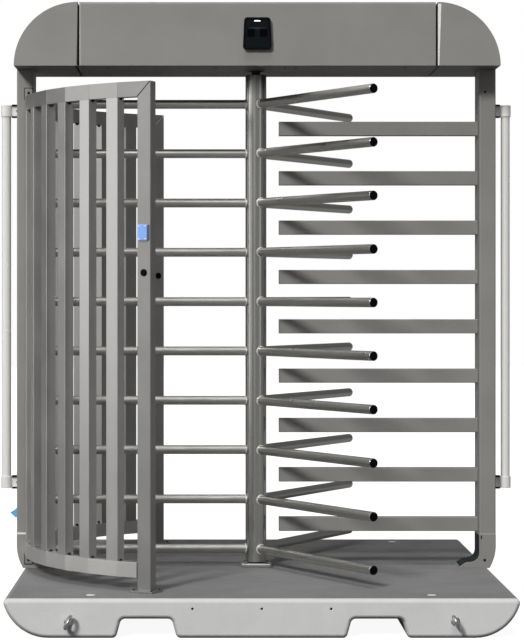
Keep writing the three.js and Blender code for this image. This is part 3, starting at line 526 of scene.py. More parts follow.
def gritted_coating(paint):
    # Epoxy deck coating broadcast with quartz grit: matt, with grains of about 1.5 mm and wear in the walkway
    # Its dark colour is painted shade of the block's top as well as the coating's own
    tree, surface, place = start_material("gritted_coating")
    surface.inputs["Specular IOR Level"].default_value = 0.12
    grit = add_node(tree, "ShaderNodeTexVoronoi", {}, {"Vector": place, "Scale": 520}).outputs["Distance"]
    wear = add_node(tree, "ShaderNodeTexNoise", {}, {"Vector": place, "Scale": 4, "Detail": 6}).outputs["Fac"]
    fine = add_node(tree, "ShaderNodeTexNoise", {}, {
        "Vector": place, "Scale": 260, "Detail": 2}).outputs["Fac"]
    tone = add_node(tree, "ShaderNodeMix", {}, {"Factor": 0.45, "A": wear, "B": fine}).outputs["Result"]
    base = shaded(tree, paint.deck, 0.88, 1.12, ranged(tree, tone, *MIXED_SPAN, 0, 1))
    tree.links.new(base, surface.inputs["Base Color"])
    tree.links.new(ranged(tree, wear, *NOISE_SPAN, 0.82, 0.66), surface.inputs["Roughness"])
    relief = add_node(tree, "ShaderNodeBump", {"invert": True}, {
        "Height": grit, "Strength": 0.4, "Distance": 0.0005})
    tree.links.new(relief.outputs["Normal"], surface.inputs["Normal"])


def powder_coat(name, base, metallic, roughness):
    # Polyester powder coat: satin, with orange peel a few millimetres wide, and metallic where it holds flake
    tree, surface, place = start_material(name, metallic)
    dapple = add_node(tree, "ShaderNodeTexNoise", {}, {
        "Vector": place, "Scale": 1 / ORANGE_PEEL, "Detail": 1}).outputs["Fac"]
    cloud = add_node(tree, "ShaderNodeTexNoise", {}, {
        "Vector": place, "Scale": 6, "Detail": 4}).outputs["Fac"]
    flake = add_node(tree, "ShaderNodeTexVoronoi", {}, {"Vector": place, "Scale": 900}).outputs["Color"]
    glint = add_node(tree, "ShaderNodeSeparateColor", {}, {"Color": flake}).outputs["Red"]
    tone = add_node(tree, "ShaderNodeMix", {}, {"Factor": 0.3, "A": cloud, "B": glint}).outputs["Result"]
    coat = shaded(tree, base, 0.94, 1.05, ranged(tree, tone, *NOISE_SPAN, 0, 1))
    sheen = ranged(tree, cloud, *NOISE_SPAN, roughness - 0.03, roughness + 0.05)
    tree.links.new(coat, surface.inputs["Base Color"])
    tree.links.new(sheen, surface.inputs["Roughness"])
    relief = add_node(tree, "ShaderNodeBump", {}, {"Height": dapple, "Strength": 0.12, "Distance": 0.0003})
    tree.links.new(relief.outputs["Normal"], surface.inputs["Normal"])


def satin_stainless(name, base, smooth, dull):
    # Stainless tube, belt polished: a soft sheen, duller in patches a hand wide, and crossed by scratches
    # drawn 1.5 mm wide so that they show. Its top end, under the header, is darkened as painted shade
    tree, surface, place = start_material(name, 1.0)
    across = add_node(tree, "ShaderNodeMapping", {}, {"Vector": place, "Scale": (1, 1, 9)}).outputs["Vector"]
    lines = add_node(tree, "ShaderNodeTexNoise", {}, {
        "Vector": across, "Scale": 90, "Detail": 6}).outputs["Fac"]
    cloud = add_node(tree, "ShaderNodeTexNoise", {}, {
        "Vector": place, "Scale": 9, "Detail": 3}).outputs["Fac"]
    tone = shaded(tree, base, 0.96, 1.03, ranged(tree, lines, *NOISE_SPAN, 0, 1))
    height = add_node(tree, "ShaderNodeSeparateXYZ", {}, {"Vector": place}).outputs["Z"]
    # Painted shade: darker towards the top, down to 0.28 of the colour, under the header
    polished = ranged(tree, height, DECK_Z + SHADE_FROM, DECK_Z + SHADE_FULL, 1, 0.28)
    shaded_top = add_node(tree, "ShaderNodeMix", {"data_type": "RGBA", "blend_type": "MULTIPLY"}, {
        "Factor": 1.0, "A": tone, "B": polished}).outputs["Result"]
    tree.links.new(shaded_top, surface.inputs["Base Color"])
    tree.links.new(ranged(tree, cloud, *NOISE_SPAN, smooth, dull), surface.inputs["Roughness"])


def anodised_tube(paint):
    # Aluminium tube, brushed and anodised in its natural white: even and silky, with hair lines along it
    tree, surface, place = start_material("anodised_tube", 0.15)
    along = add_node(tree, "ShaderNodeMapping", {}, {
        "Vector": place, "Scale": (1, 1, 0.02)}).outputs["Vector"]
    lines = add_node(tree, "ShaderNodeTexNoise", {}, {
        "Vector": along, "Scale": 700, "Detail": 2}).outputs["Fac"]
    cloud = add_node(tree, "ShaderNodeTexNoise", {}, {
        "Vector": place, "Scale": 12, "Detail": 2}).outputs["Fac"]
    base = shaded(tree, paint.tube, 0.95, 1.04, ranged(tree, lines, *NOISE_SPAN, 0, 1))
    tree.links.new(base, surface.inputs["Base Color"])
    tree.links.new(ranged(tree, cloud, *NOISE_SPAN, 0.22, 0.28), surface.inputs["Roughness"])


def plated_steel(name, base, roughness, spangle, metallic=1.0):
    # Plated or machined steel: bright, with a faint spangle or tool mark, whose width is in millimetres
    tree, surface, place = start_material(name, metallic)
    cells = add_node(tree, "ShaderNodeTexVoronoi", {}, {
        "Vector": place, "Scale": 1000 / spangle}).outputs["Color"]
    shade = add_node(tree, "ShaderNodeSeparateColor", {}, {"Color": cells}).outputs["Green"]
    smear = add_node(tree, "ShaderNodeTexNoise", {}, {
        "Vector": place, "Scale": 60, "Detail": 4}).outputs["Fac"]
    sheen = ranged(tree, smear, *NOISE_SPAN, roughness - 0.06, roughness + 0.1)
    tree.links.new(shaded(tree, base, 0.86, 1.08, shade), surface.inputs["Base Color"])
    tree.links.new(sheen, surface.inputs["Roughness"])
    relief = add_node(tree, "ShaderNodeBump", {}, {"Height": smear, "Strength": 0.1, "Distance": 0.0003})
    tree.links.new(relief.outputs["Normal"], surface.inputs["Normal"])


def moulded_plastic(name, base, roughness, grain=0.9, shine=0.5):
    # Moulded plastic with a spark eroded grain, in millimetres: an even, slightly soft sheen
    tree, surface, place = start_material(name)
    surface.inputs["Specular IOR Level"].default_value = shine
    texture = add_node(tree, "ShaderNodeTexNoise", {}, {
        "Vector": place, "Scale": 1000 / grain, "Detail": 2}).outputs["Fac"]
    cloud = add_node(tree, "ShaderNodeTexNoise", {}, {
        "Vector": place, "Scale": 30, "Detail": 3}).outputs["Fac"]
    sheen = ranged(tree, cloud, *NOISE_SPAN, roughness - 0.04, roughness + 0.06)
    tree.links.new(shaded(tree, base, 0.93, 1.06, cloud), surface.inputs["Base Color"])
    tree.links.new(sheen, surface.inputs["Roughness"])
    relief = add_node(tree, "ShaderNodeBump", {}, {"Height": texture, "Strength": 0.15, "Distance": 0.0002})
    tree.links.new(relief.outputs["Normal"], surface.inputs["Normal"])


def lit_lens():
    # Diffused light guide of the status display, lit evenly white
    tree, surface, place = start_material("lit_lens")
    haze = add_node(tree, "ShaderNodeTexNoise", {}, {
        "Vector": place, "Scale": 300, "Detail": 2}).outputs["Fac"]
    tree.links.new(shaded(tree, (0.9, 0.92, 0.94), 0.92, 1.0, haze), surface.inputs["Base Color"])
    surface.inputs["Emission Color"].default_value = (1, 1, 1, 1)
    surface.inputs["Emission Strength"].default_value = 0.8


class TURNSTILE_OT_finishes(bpy.types.Operator):
    """Makes the materials and puts them on the construction model's own pieces"""

    bl_idname = "turnstile.finishes"
    bl_label = "Finishes"

    def execute(self, context):
        paint = context.scene.turnstile_colours
        cast_concrete(paint)
        gritted_coating(paint)
        powder_coat("post_coat", paint.post, 0.25, 0.5)
        powder_coat("cage_coat", paint.cage, 0.85, 0.32)
        # Two lighter copies of the cage coat, as painted light
        powder_coat("cage_bar_lit_coat", paint.cage_bar, 0.85, 0.32)
        powder_coat("cage_low_lit_coat", paint.cage_low, 0.85, 0.32)
        powder_coat("header_coat", paint.header, 0.25, 0.5)
        powder_coat("header_edge_highlight_coat", paint.header_edge, 0.25, 0.4)
        # The soffit's darker copy of the header's coat is painted shade
        powder_coat("soffit_shade_coat", paint.soffit, 0.25, 0.55)
        powder_coat("enclosure_coat", paint.enclosure, 0.0, 0.5)
        satin_stainless("column_stainless", paint.stainless, 0.16, 0.20)
        satin_stainless("arm_stainless", paint.stainless, 0.27, 0.33)
        anodised_tube(paint)
        plated_steel("bright_zinc", paint.zinc, 0.26, 3.0)
        # Real zinc on some parts, painted highlight on others
        plated_steel("zinc_and_highlight", paint.zinc_and_highlight, 0.4, 3.0, 0.2)
        plated_steel("ground_steel", paint.steel, 0.32, 6.0)
        plated_steel("black_oxide", paint.oxide, 0.45, 4.0, 0.6)
        plated_steel("cast_bronze", paint.bronze, 0.3, 5.0)
        moulded_plastic("liner_rubber", paint.liner, 0.7, shine=0.25)
        moulded_plastic("black_nylon", paint.plastic, 0.5, shine=0.06)
        moulded_plastic("display_window", paint.glass, 0.12, 40.0, 0.12)
        moulded_plastic("smoked_lens", paint.plastic, 0.12, 40.0, 0.03)
        moulded_plastic("reader_front", paint.reader, 0.35)
        moulded_plastic("inlet_nylon", paint.inlet, 0.4)
        lit_lens()
        finish_of_slot = {
            "ballast_concrete": "cast_concrete", "deck_paint": "gritted_coating", "zinc_plate": "bright_zinc",
            "post_paint": "post_coat", "cage_paint": "cage_coat", "liner_dark": "liner_rubber",
            "stainless": "column_stainless", "header_paint": "header_coat", "soffit_paint": "soffit_shade_coat",
            "black_plastic": "black_nylon", "display_glass": "display_window",
            "machined_steel": "ground_steel", "bearing_bronze": "cast_bronze",
            "reader_blue": "reader_front", "inlet_blue": "inlet_nylon", "enclosure_grey": "enclosure_coat",
            "side_tube_white": "anodised_tube",
        }
        for part in frame["record"]["subparts"]:
            slots = frame["nodes"][part["node"]].data.materials
            slots.clear()
            slots.append(bpy.data.materials[finish_of_slot[part["material_slot"]]])
        shaft = frame["nodes"]["rotor_shaft"].data.materials
        shaft.clear()
        shaft.append(bpy.data.materials["black_oxide"])
        return {"FINISHED"}


class TURNSTILE_OT_base(bpy.types.Operator):
    """Ballast block with its fork pockets, threaded inserts, plugs and eye bolts"""

    bl_idname = "turnstile.base"
    bl_label = "Base"

    def execute(self, context):
        self.add_block()
        self.add_plugs()
        self.add_eye_bolts()
        return {"FINISHED"}

    def add_block(self):
        low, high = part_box("base_block")
        deck_low, deck_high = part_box("deck_plate")
        corners = [(-BASE_FLAT, 0, BASE_END_RADIUS)]
        for centre in (-FORK_CENTRE, FORK_CENTRE):
            corners += [(centre - FORK_MOUTH, 0, FORK_ROUND), (centre - FORK_TOP, FORK_HEIGHT, FORK_ROUND)]
            corners += [(centre + FORK_TOP, FORK_HEIGHT, FORK_ROUND), (centre + FORK_MOUTH, 0, FORK_ROUND)]
        corners += [(BASE_FLAT, 0, BASE_END_RADIUS), (BASE_HALF, high.z, BASE_CORNER)]
        corners += [(-BASE_HALF, high.z, BASE_CORNER)]
        block = bmesh.new()
        pillowed(block, outline(corners, 10), low.y, high.y, BASE_EDGE, 6, FACING_FRONT)
        cutters = bmesh.new()
        recess = rectangle(0, 0, 2 * (deck_high.x + GAP), 2 * (deck_high.y + GAP), 10 * MM)
        prism(cutters, recess, deck_low.z - GAP, high.z + 1 * MM)
        for _, end, side in CORNERS:
            socket = circle(PLUG_RADIUS + GAP, 48, side * PLUG_X, end * PLUG_Y)
            prism(cutters, socket, high.z - 30 * MM, high.z - 3 * MM)
        for end in ENDS.values():
            for x in (-INSERT_PITCH, 0, INSERT_PITCH):
                hole = circle(INSERT_RADIUS, 24, x, INSERT_Z)
                prism(cutters, hole, end * (high.y - 45 * MM), end * (high.y + 45 * MM), FACING_FRONT)
        block = carve(block, cutters)
        piece("ballast_block", block, "cast_concrete", stands_for=["base_block"])
        self.add_inserts(high.y)

    def add_inserts(self, face):
        """Threaded sockets a few millimetres inside the holes of the front and rear faces."""
        for name, end in ENDS.items():
            rims, threads = bmesh.new(), bmesh.new()
            for x in (-INSERT_PITCH, 0, INSERT_PITCH):
                place = facing(x, end * (face - 3 * MM), INSERT_Z, (0, end, 0))
                turned(rims, [
                    (6.8 * MM, 2.4 * MM), (6.8 * MM, -2 * MM), (5 * MM, -2 * MM), (5 * MM, 1.8 * MM),
                    (5.6 * MM, 2.4 * MM),
                ], 32, place, closed=True)
                turned(threads, [
                    (6.6 * MM, -2.3 * MM), (6.6 * MM, -34 * MM), (4.2 * MM, -34 * MM), (4.2 * MM, -2.3 * MM),
                ], 24, place, closed=True)
            piece(f"insert_rims_{name}", rims, "zinc_and_highlight")
            piece(f"insert_threads_{name}", threads, "black_oxide")

    def add_plugs(self):
        """Zinc plated domes in collars that carry the deck's coating, flush with the deck."""
        for name, end, side in CORNERS:
            place = Matrix.Translation((side * PLUG_X, end * PLUG_Y, DECK_Z))
            collar, cap = bmesh.new(), bmesh.new()
            turned(collar, [
                (PLUG_RADIUS, -0.4 * MM), (PLUG_RADIUS, -28 * MM), (16 * MM, -28 * MM), (16 * MM, -3 * MM),
                (18.5 * MM, -1.4 * MM), (20 * MM, 0), (26.4 * MM, 0),
            ], 64, place, closed=True)
            turned(cap, [
                (0, -26 * MM), (15.5 * MM, -26 * MM), (15.5 * MM, -2.2 * MM), (18 * MM, -1.2 * MM),
                (18 * MM, -0.4 * MM), (16.5 * MM, 0.5 * MM), (13 * MM, 1.1 * MM), (8 * MM, 1.5 * MM),
                (4 * MM, 1.6 * MM), (0, 1.6 * MM),
            ], 64, place)
            piece(f"plug_collar_{name}", collar, "gritted_coating",
                  stands_for=[f"socket_plug_{name}"])
            piece(f"plug_cap_{name}", cap, "zinc_and_highlight")

    def add_eye_bolts(self):
        """Forged eye bolts: a ring that swells into its shank, over a turned collar."""
        for name, end, side in CORNERS:
            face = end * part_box("base_block")[1].y
            place = (Matrix.Translation((side * EYE_X, face, EYE_Z))
                     @ Matrix.Rotation(-end * math.pi / 2, 4, "X")
                     @ Matrix.Rotation(math.pi / 2 + side * EYE_LEAN, 4, "Z"))
            stem = bmesh.new()
            turned(stem, [
                (0, -40 * MM), (9 * MM, -40 * MM), (11 * MM, -38 * MM), (11 * MM, GAP), (16 * MM, GAP),
                (EYE_COLLAR, 1.3 * MM), (EYE_COLLAR, EYE_NECK - 3 * MM), (15.5 * MM, EYE_NECK - 1.6 * MM),
                (12 * MM, EYE_NECK + 1 * MM), (10.5 * MM, EYE_NECK + 4 * MM), (0, EYE_NECK + 6 * MM),
            ], 40, place)
            self.add_ring(stem, place, EYE_NECK + EYE_RING + EYE_WIRE - 3 * MM)
            piece(f"eye_bolt_{name}_forging", stem, "bright_zinc",
                  stands_for=[f"eye_bolt_{name}"], sharp=45)

    def add_ring(self, bm, place, centre, steps=56, sides=20):
        """The eye's ring, round its centre above the collar's foot, thickest where it meets the shank."""
        rings = []
        for step in range(steps):
            angle = 2 * math.pi * step / steps
            swell = EYE_WIRE * (1 + 0.22 * max(0, -math.cos(angle)) ** 4)
            ring = []
            for x, y in circle(swell, sides):
                radius = EYE_RING + x
                point = Vector((radius * math.sin(angle), y, centre + radius * math.cos(angle)))
                ring.append(bm.verts.new(place @ point))
            rings.append(ring)
        for ring, after in zip(rings, rings[1:] + rings[:1]):
            join(bm, ring, after)


class TURNSTILE_OT_portal(bpy.types.Operator):
    """Portal posts, their foot covers, and the comb of fixed bars"""

    bl_idname = "turnstile.portal"
    bl_label = "Portal"

    def execute(self, context):
        for name, side in SIDES.items():
            self.add_post(name, side)
            self.add_foot(name, side)
        self.add_comb()
        return {"FINISHED"}

    def add_post(self, name, side):
        low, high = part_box(f"post_{name}")
        middle = (low + high) / 2
        bm, drill, plug = bmesh.new(), bmesh.new(), bmesh.new()
        outer = rectangle(middle.x, 0, POST_WIDTH, POST_DEPTH, 6 * MM)
        inner = rectangle(middle.x, 0, POST_WIDTH - 2 * POST_WALL, POST_DEPTH - 2 * POST_WALL, 2 * MM)
        prism(bm, outer, low.z, high.z, inner=inner)
        hole = facing(side * HOLE_X, -POST_DEPTH / 2, DECK_Z + HOLE_HEIGHT, (0, -1, 0))
        turned(drill, [
            (0, -6 * MM), (HOLE_RADIUS, -6 * MM), (HOLE_RADIUS, 6 * MM), (0, 6 * MM),
        ], 24, hole)
        turned(plug, [
            (0, -3 * MM), (HOLE_RADIUS, -3 * MM), (HOLE_RADIUS, -0.8 * MM), (0, -1.6 * MM),
        ], 24, hole)
        piece(f"post_tube_{name}", carve(bm, drill), "post_coat",
              stands_for=[f"post_{name}"], rounding=0.8 * MM)
        piece(f"post_hole_plug_{name}", plug, "black_nylon")

    def foot_outline(self, side):
        corners = [
            (FOOT_TOE, 0), (983 * MM, 0), (POST_OUTER, 52 * MM, 190 * MM), (POST_OUTER, FOOT_HEIGHT),
            (POST_INNER, FOOT_HEIGHT), (POST_INNER, 27 * MM, 38 * MM), (883 * MM, 25 * MM, 36 * MM),
            (FOOT_TOE, 2 * MM),
        ]
        return [Vector((side * p.x, DECK_Z + p.y)) for p in outline(corners, 14)]

    def add_foot(self, name, side):
        half = POST_DEPTH / 2 + FOOT_SKIN
        shell = bmesh.new()
        prism(shell, self.foot_outline(side), -half, half, FACING_FRONT)
        bmesh.ops.translate(shell, verts=shell.verts, vec=(0, 0, GAP))
        cavity = bmesh.new()
        inside = outline([
            (FOOT_MOUTH, FOOT_FLOOR), (982 * MM, FOOT_FLOOR), (POST_OUTER - FOOT_SKIN, 54 * MM, 180 * MM),
            (POST_OUTER - FOOT_SKIN, FOOT_HEIGHT - FOOT_FLOOR), (FOOT_MOUTH, FOOT_HEIGHT - FOOT_FLOOR),
        ], 14)
        inside = [Vector((side * p.x, DECK_Z + GAP + p.y)) for p in inside]
        prism(cavity, inside, -POST_DEPTH / 2, POST_DEPTH / 2, FACING_FRONT)
        shell = carve(shell, cavity)
        piece(f"foot_cover_{name}", shell, "post_coat", stands_for=[f"foot_{name}"],
              rounding=0.9 * MM, sharp=40)
        screws = bmesh.new()
        for end in ENDS.values():
            groove = rectangle(
                side * FOOT_GROOVE_X, DECK_Z + FOOT_GROOVE_HEIGHT, 5 * MM, 15 * MM, 2.4 * MM)
            prism(screws, groove, end * (half - 1 * MM), end * (half + 0.5 * MM), FACING_FRONT)
            screw_place = facing(side * FOOT_SCREW_X, end * half, DECK_Z + FOOT_SCREW_HEIGHT, (0, end, 0))
            pan_head(screws, screw_place, sizes().screw, 2 * MM)
        piece(f"foot_screws_{name}", screws, "black_oxide")
        middle, wide, tall, finish, slot = FOOT_SEAM_HIGHLIGHTS[name]
        # Painted highlight along the foot's top seam
        strip = bmesh.new()
        for end in ENDS.values():
            plan = rectangle(side * middle, DECK_Z + FOOT_HEIGHT + 0.5 * MM + tall / 2, wide, tall)
            prism(strip, plan, end * (half - 3 * MM), end * half, FACING_FRONT)
        piece(f"foot_seam_highlight_{name}", strip, finish, rounding=0.4 * MM)

    def add_comb(self):
        """Box sections from the right post, each with a cap at its free end and a weld round its other."""
        corner = sizes().tube_corner
        for index in range(1, ARMS):
            node = f"comb_bar_{index}"
            low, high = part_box(node)
            bm, bead = bmesh.new(), bmesh.new()
            height, depth = high.z - low.z, high.y - low.y
            middle = (low.z + high.z) / 2
            outer = rectangle(0, middle, depth, height, corner + 1 * MM)
            inner = rectangle(0, middle, depth - 2 * COMB_WALL, height - 2 * COMB_WALL, corner)
            prism(bm, outer, low.x + COMB_WALL, high.x, FACING_SIDE, inner)
            prism(bm, outer, low.x, low.x + COMB_WALL - GAP, FACING_SIDE)
            piece(f"comb_tube_{index}", bm, "post_coat", stands_for=[node], rounding=0.6 * MM)
            path = [Vector((high.x - 0.8 * MM, p.x, p.y))
                    for p in rectangle(0, middle, depth, height, 4 * MM, 6)]
            weld_bead(bead, path, sizes().weld)
            piece(f"comb_weld_{index}", bead, "post_coat")


class TURNSTILE_OT_cages(bpy.types.Operator):
    """Front and rear guard cages: faceted rails, one bar to a facet, an end post and its foot"""

    bl_idname = "turnstile.cages"
    bl_label = "Guard cages"

    def execute(self, context):
        for name, end in ENDS.items():
            self.add_cage(name, end)
        return {"FINISHED"}

    def add_cage(self, name, end):
        low_rail, top_rail, bars = bmesh.new(), bmesh.new(), bmesh.new()
        self.add_rail(low_rail, end, RAIL_BOTTOM, mitred=False)
        self.add_rail(top_rail, end, RAIL_TOP, mitred=True)
        low, high = DECK_Z + RAIL_BOTTOM + RAIL_HEIGHT - 0.5 * MM, DECK_Z + RAIL_TOP + 0.5 * MM
        corner = sizes().tube_corner
        vents = bmesh.new()
        for index in range(1, CAGE_BARS + 1):
            section = rectangle(CAGE_FACE / 2, CAGE_DEPTH / 2, CAGE_FACE, CAGE_DEPTH, corner, 4)
            prism(bars, [on_facet(index, end, *point) for point in section], low, high)
            start = on_facet(index, end, -5 * MM, CAGE_DEPTH / 2)
            stop = on_facet(index, end, CAGE_FACE, CAGE_DEPTH / 2)
            for level in (low, high):
                place = facing(*start, level, (*(stop - start), 0))
                turned(vents, [
                    (0, 0), (VENT_RADIUS, 0), (VENT_RADIUS, VENT_LENGTH), (0, VENT_LENGTH),
                ], 24, place)
        bars = carve(bars, vents)
        piece(f"cage_top_rail_{name}", top_rail, "cage_coat", stands_for=[f"cage_{name}"],
              rounding=1.2 * MM)
        # The bottom rails and the front cage's bars take the lighter copies of the coat, as painted light
        piece(f"cage_low_rail_{name}", low_rail, "cage_low_lit_coat", rounding=1.2 * MM)
        piece(f"cage_bars_{name}", bars, "cage_bar_lit_coat" if end < 0 else "cage_coat")
        self.add_post(name, end)
        self.add_clips(name, end)

    def add_rail(self, bm, end, height, mitred):
        """One closed length of rail to each facet, with its ends cut to meet its neighbours."""
        low, high = DECK_Z + height, DECK_Z + height + RAIL_HEIGHT
        shift = CAGE_DEPTH * math.tan(FACET_STEP / 2)
        for index in range(CAGE_BARS + 1):
            start = CAGE_FACE + MITRE_GAP if index == 0 else 0
            top_start = MITRE_GAP if index == 0 and mitred else start
            inner = 0 if index == 0 else shift
            corners = [
                (start, 0, low), (FACET, 0, low), (FACET, 0, high), (top_start, 0, high),
                (start + inner, CAGE_DEPTH, low), (FACET - shift, CAGE_DEPTH, low),
                (FACET - shift, CAGE_DEPTH, high), (top_start + inner, CAGE_DEPTH, high),
            ]
            points = [Vector((*on_facet(index, end, a, b), z)) for a, b, z in corners]
            if index == CAGE_BARS:
                self.end_at_post(points, end)
            eight_corners(bm, points)

    def end_at_post(self, points, end):
        """Slides the last corners along their edges to the portal post's face."""
        for near, far in ((0, 1), (3, 2), (4, 5), (7, 6)):
            share = (end * RAIL_END - points[near].y) / (points[far].y - points[near].y)
            points[far] = points[near].lerp(points[far], share)

    def add_post(self, name, end):
        """End post with its top cut to the mitre, on a flange with four bolts."""
        bm = bmesh.new()
        low, top = DECK_Z + GAP, DECK_Z + RAIL_TOP
        corners = [(0, low), (CAGE_FACE, low), (CAGE_FACE, top), (0, top + RAIL_HEIGHT)]
        eight_corners(bm, [Vector((*on_facet(0, end, along, inwards), z))
                           for inwards in (0, CAGE_DEPTH) for along, z in corners])
        piece(f"cage_post_{name}", bm, "cage_coat", rounding=sizes().tube_corner)
        flange, bolts = bmesh.new(), bmesh.new()
        left, right = -FLANGE_MARGIN, CAGE_FACE + FLANGE_MARGIN
        near, far = -FLANGE_MARGIN, CAGE_DEPTH + FLANGE_MARGIN
        plan = [on_facet(0, end, along, inwards) for along, inwards in
                ((left, near), (right, near), (right, far), (left, far))]
        prism(flange, plan, low, low + FLANGE_THICKNESS)
        piece(f"cage_flange_{name}", flange, "cage_coat", rounding=sizes().fold)
        for along in (-FLANGE_BOLT, CAGE_FACE + FLANGE_BOLT):
            for inwards in (-FLANGE_BOLT, CAGE_DEPTH + FLANGE_BOLT):
                x, y = on_facet(0, end, along, inwards)
                pan_head(bolts, Matrix.Translation((x, y, low + FLANGE_THICKNESS)), 5.5 * MM, 4 * MM)
        piece(f"cage_bolts_{name}", bolts, "black_oxide")

    def add_clips(self, name, end):
        """Plates that hold the rails' ends on the portal post, each with its screw."""
        plates, pads, screws = bmesh.new(), bmesh.new(), bmesh.new()
        spans = (
            (RAIL_TOP + RAIL_HEIGHT - 6 * MM, RAIL_TOP + RAIL_HEIGHT + 42 * MM, GAP),
            (RAIL_BOTTOM - 38 * MM, RAIL_BOTTOM + 6 * MM, FOOT_SKIN + GAP),
        )
        for low, high, standoff in spans:
            near = POST_DEPTH / 2 + standoff
            far = near + CLIP_THICKNESS
            middle = (low + high) / 2 + (3 if low > 1 else -3) * MM
            level = DECK_Z + (low + high) / 2
            section = rectangle(-CLIP_X, level, CLIP_WIDTH, high - low - 4 * MM, 2 * MM, 4)
            prism(plates, section, end * near, end * far, FACING_FRONT)
            edge = rectangle(-CLIP_X, level, 38 * MM, high - low + 2 * MM, 3 * MM, 4)
            prism(pads, edge, end * (near - 0.2 * MM), end * (near + 2 * MM), FACING_FRONT)
            screw_place = facing(-CLIP_X, end * far, DECK_Z + middle, (0, end, 0))
            pan_head(screws, screw_place, sizes().screw, 3.5 * MM)
        piece(f"cage_clips_{name}", plates, "cage_coat", rounding=0.8 * MM)
        piece(f"clip_pads_{name}", pads, "black_nylon")
        piece(f"clip_screws_{name}", screws, "black_oxide")


def joint_at(index, end):
    """Plan place of a joint between two facets of a cage."""
    angle = LAST_JOINT - index * FACET_STEP
    return Vector((-math.cos(angle), end * math.sin(angle))) * CAGE_RADIUS


def on_facet(index, end, along, inwards):
    """Plan place on a facet: along it from its joint, and inwards from its outer face."""
    joint = joint_at(index, end)
    forwards = (joint_at(index + 1, end) - joint).normalized()
    inside = Vector((forwards.y, -forwards.x)) * -end
    return joint + forwards * along + inside * inwards


class TURNSTILE_OT_rotor(bpy.types.Operator):
    """Column with three wings of ten arms, their welds and end plugs, and the pivot under it"""

    bl_idname = "turnstile.rotor"
    bl_label = "Rotor"

    def execute(self, context):
        self.add_column()
        for number, wing in enumerate(WINGS, 1):
            self.add_wing(number, math.radians(wing))
        self.add_pivot()
        return {"FINISHED"}

    def add_column(self):
        bm = bmesh.new()
        low, high = DECK_Z + COLUMN_BOTTOM, DECK_Z + COLUMN_TOP
        turned(bm, [
            (0, low + BORE_DEPTH), (BORE_RADIUS, low + BORE_DEPTH), (BORE_RADIUS, low),
            (COLUMN_RADIUS - 1.5 * MM, low), (COLUMN_RADIUS, low + 1.5 * MM), (COLUMN_RADIUS, high - 2 * MM),
            (COLUMN_RADIUS - 2 * MM, high), (BORE_RADIUS, high), (BORE_RADIUS, high - TOP_RECESS),
            (0, high - TOP_RECESS),
        ], 96)
        piece("rotor_column", bm, "column_stainless", "rotor", stands_for=["rotor"])

    def add_wing(self, number, angle):
        tubes, beads, plugs = bmesh.new(), bmesh.new(), bmesh.new()
        turn = Matrix.Rotation(angle, 4, "Z")
        upright = Matrix.Rotation(math.pi / 2, 4, "Y")
        for index in range(ARMS):
            place = turn @ Matrix.Translation((0, 0, DECK_Z + FIRST_ARM + index * ARM_PITCH)) @ upright
            turned(tubes, [
                (ARM_RADIUS, COLUMN_RADIUS - 6 * MM), (ARM_RADIUS, ARM_REACH - 3.4 * MM),
                (ARM_RADIUS - 0.6 * MM, ARM_REACH - 2.8 * MM), (ARM_RADIUS - 2 * MM, ARM_REACH - 2.8 * MM),
                (ARM_RADIUS - 2 * MM, COLUMN_RADIUS - 6 * MM),
            ], 48, place, closed=True)
            turned(plugs, [
                (0, ARM_REACH - 30 * MM), (ARM_RADIUS - 2.4 * MM, ARM_REACH - 30 * MM),
                (ARM_RADIUS - 2.4 * MM, ARM_REACH - 2.6 * MM), (ARM_RADIUS - 0.4 * MM, ARM_REACH - 2.6 * MM),
                (ARM_RADIUS - 0.8 * MM, ARM_REACH - 1.2 * MM), (ARM_RADIUS - 3 * MM, ARM_REACH - 0.4 * MM),
                (ARM_RADIUS - 8 * MM, ARM_REACH), (0, ARM_REACH),
            ], 48, place)
            weld_bead(beads, self.saddle(place), sizes().weld)
        piece(f"rotor_arms_{number}", tubes, "arm_stainless", "rotor")
        # The welds' bright whitish finish is painted highlight
        piece(f"rotor_welds_{number}", beads, "zinc_and_highlight", "rotor", sharp=60)
        piece(f"arm_plugs_{number}", plugs, "black_nylon", "rotor")

    def saddle(self, place, steps=48):
        """Where an arm's tube meets the column, a little outside both."""
        return [place @ Vector((x, y, math.sqrt((COLUMN_RADIUS + 0.6 * MM) ** 2 - y * y)))
                for x, y in circle(ARM_RADIUS + 0.6 * MM, steps)]

    def add_pivot(self):
        low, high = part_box("pivot_plate")
        plate, strips, screws = bmesh.new(), bmesh.new(), bmesh.new()
        wide, deep = high.x - low.x, high.y - low.y
        top = low.z + PIVOT_THICKNESS
        prism(plate, rectangle(0, 0, wide, deep, 8 * MM), low.z, top - 0.5 * MM)
        # Painted highlights: light strips along the plate's front and rear top edges
        for y in (1.5 * MM - deep / 2, deep / 2 - 1.5 * MM):
            strip = rectangle(0, y, wide - 14 * MM, 4 * MM, 1 * MM)
            prism(strips, strip, top - PIVOT_HIGHLIGHT, top)
        for x in (-PIVOT_SCREW, PIVOT_SCREW):
            for y in (-PIVOT_SCREW, PIVOT_SCREW):
                pan_head(screws, Matrix.Translation((x, y, top - 0.5 * MM)), 6 * MM, 2 * MM)
        piece("pivot_base_plate", plate, "gritted_coating", stands_for=["pivot_plate"],
              rounding=1.5 * MM)
        piece("pivot_edge_highlights", strips, "zinc_and_highlight", rounding=0.4 * MM)
        pin = bmesh.new()
        shoulder = DECK_Z + COLUMN_BOTTOM - GAP
        turned(pin, [
            (0, DECK_Z + 14 * MM), (34 * MM, DECK_Z + 14 * MM), (34 * MM, shoulder), (20 * MM, shoulder),
            (20 * MM, DECK_Z + 53 * MM), (18 * MM, DECK_Z + 55 * MM), (0, DECK_Z + 55 * MM),
        ], 48)
        piece("pivot_pin", pin, "black_oxide")
        piece("pivot_screws", screws, "black_oxide")


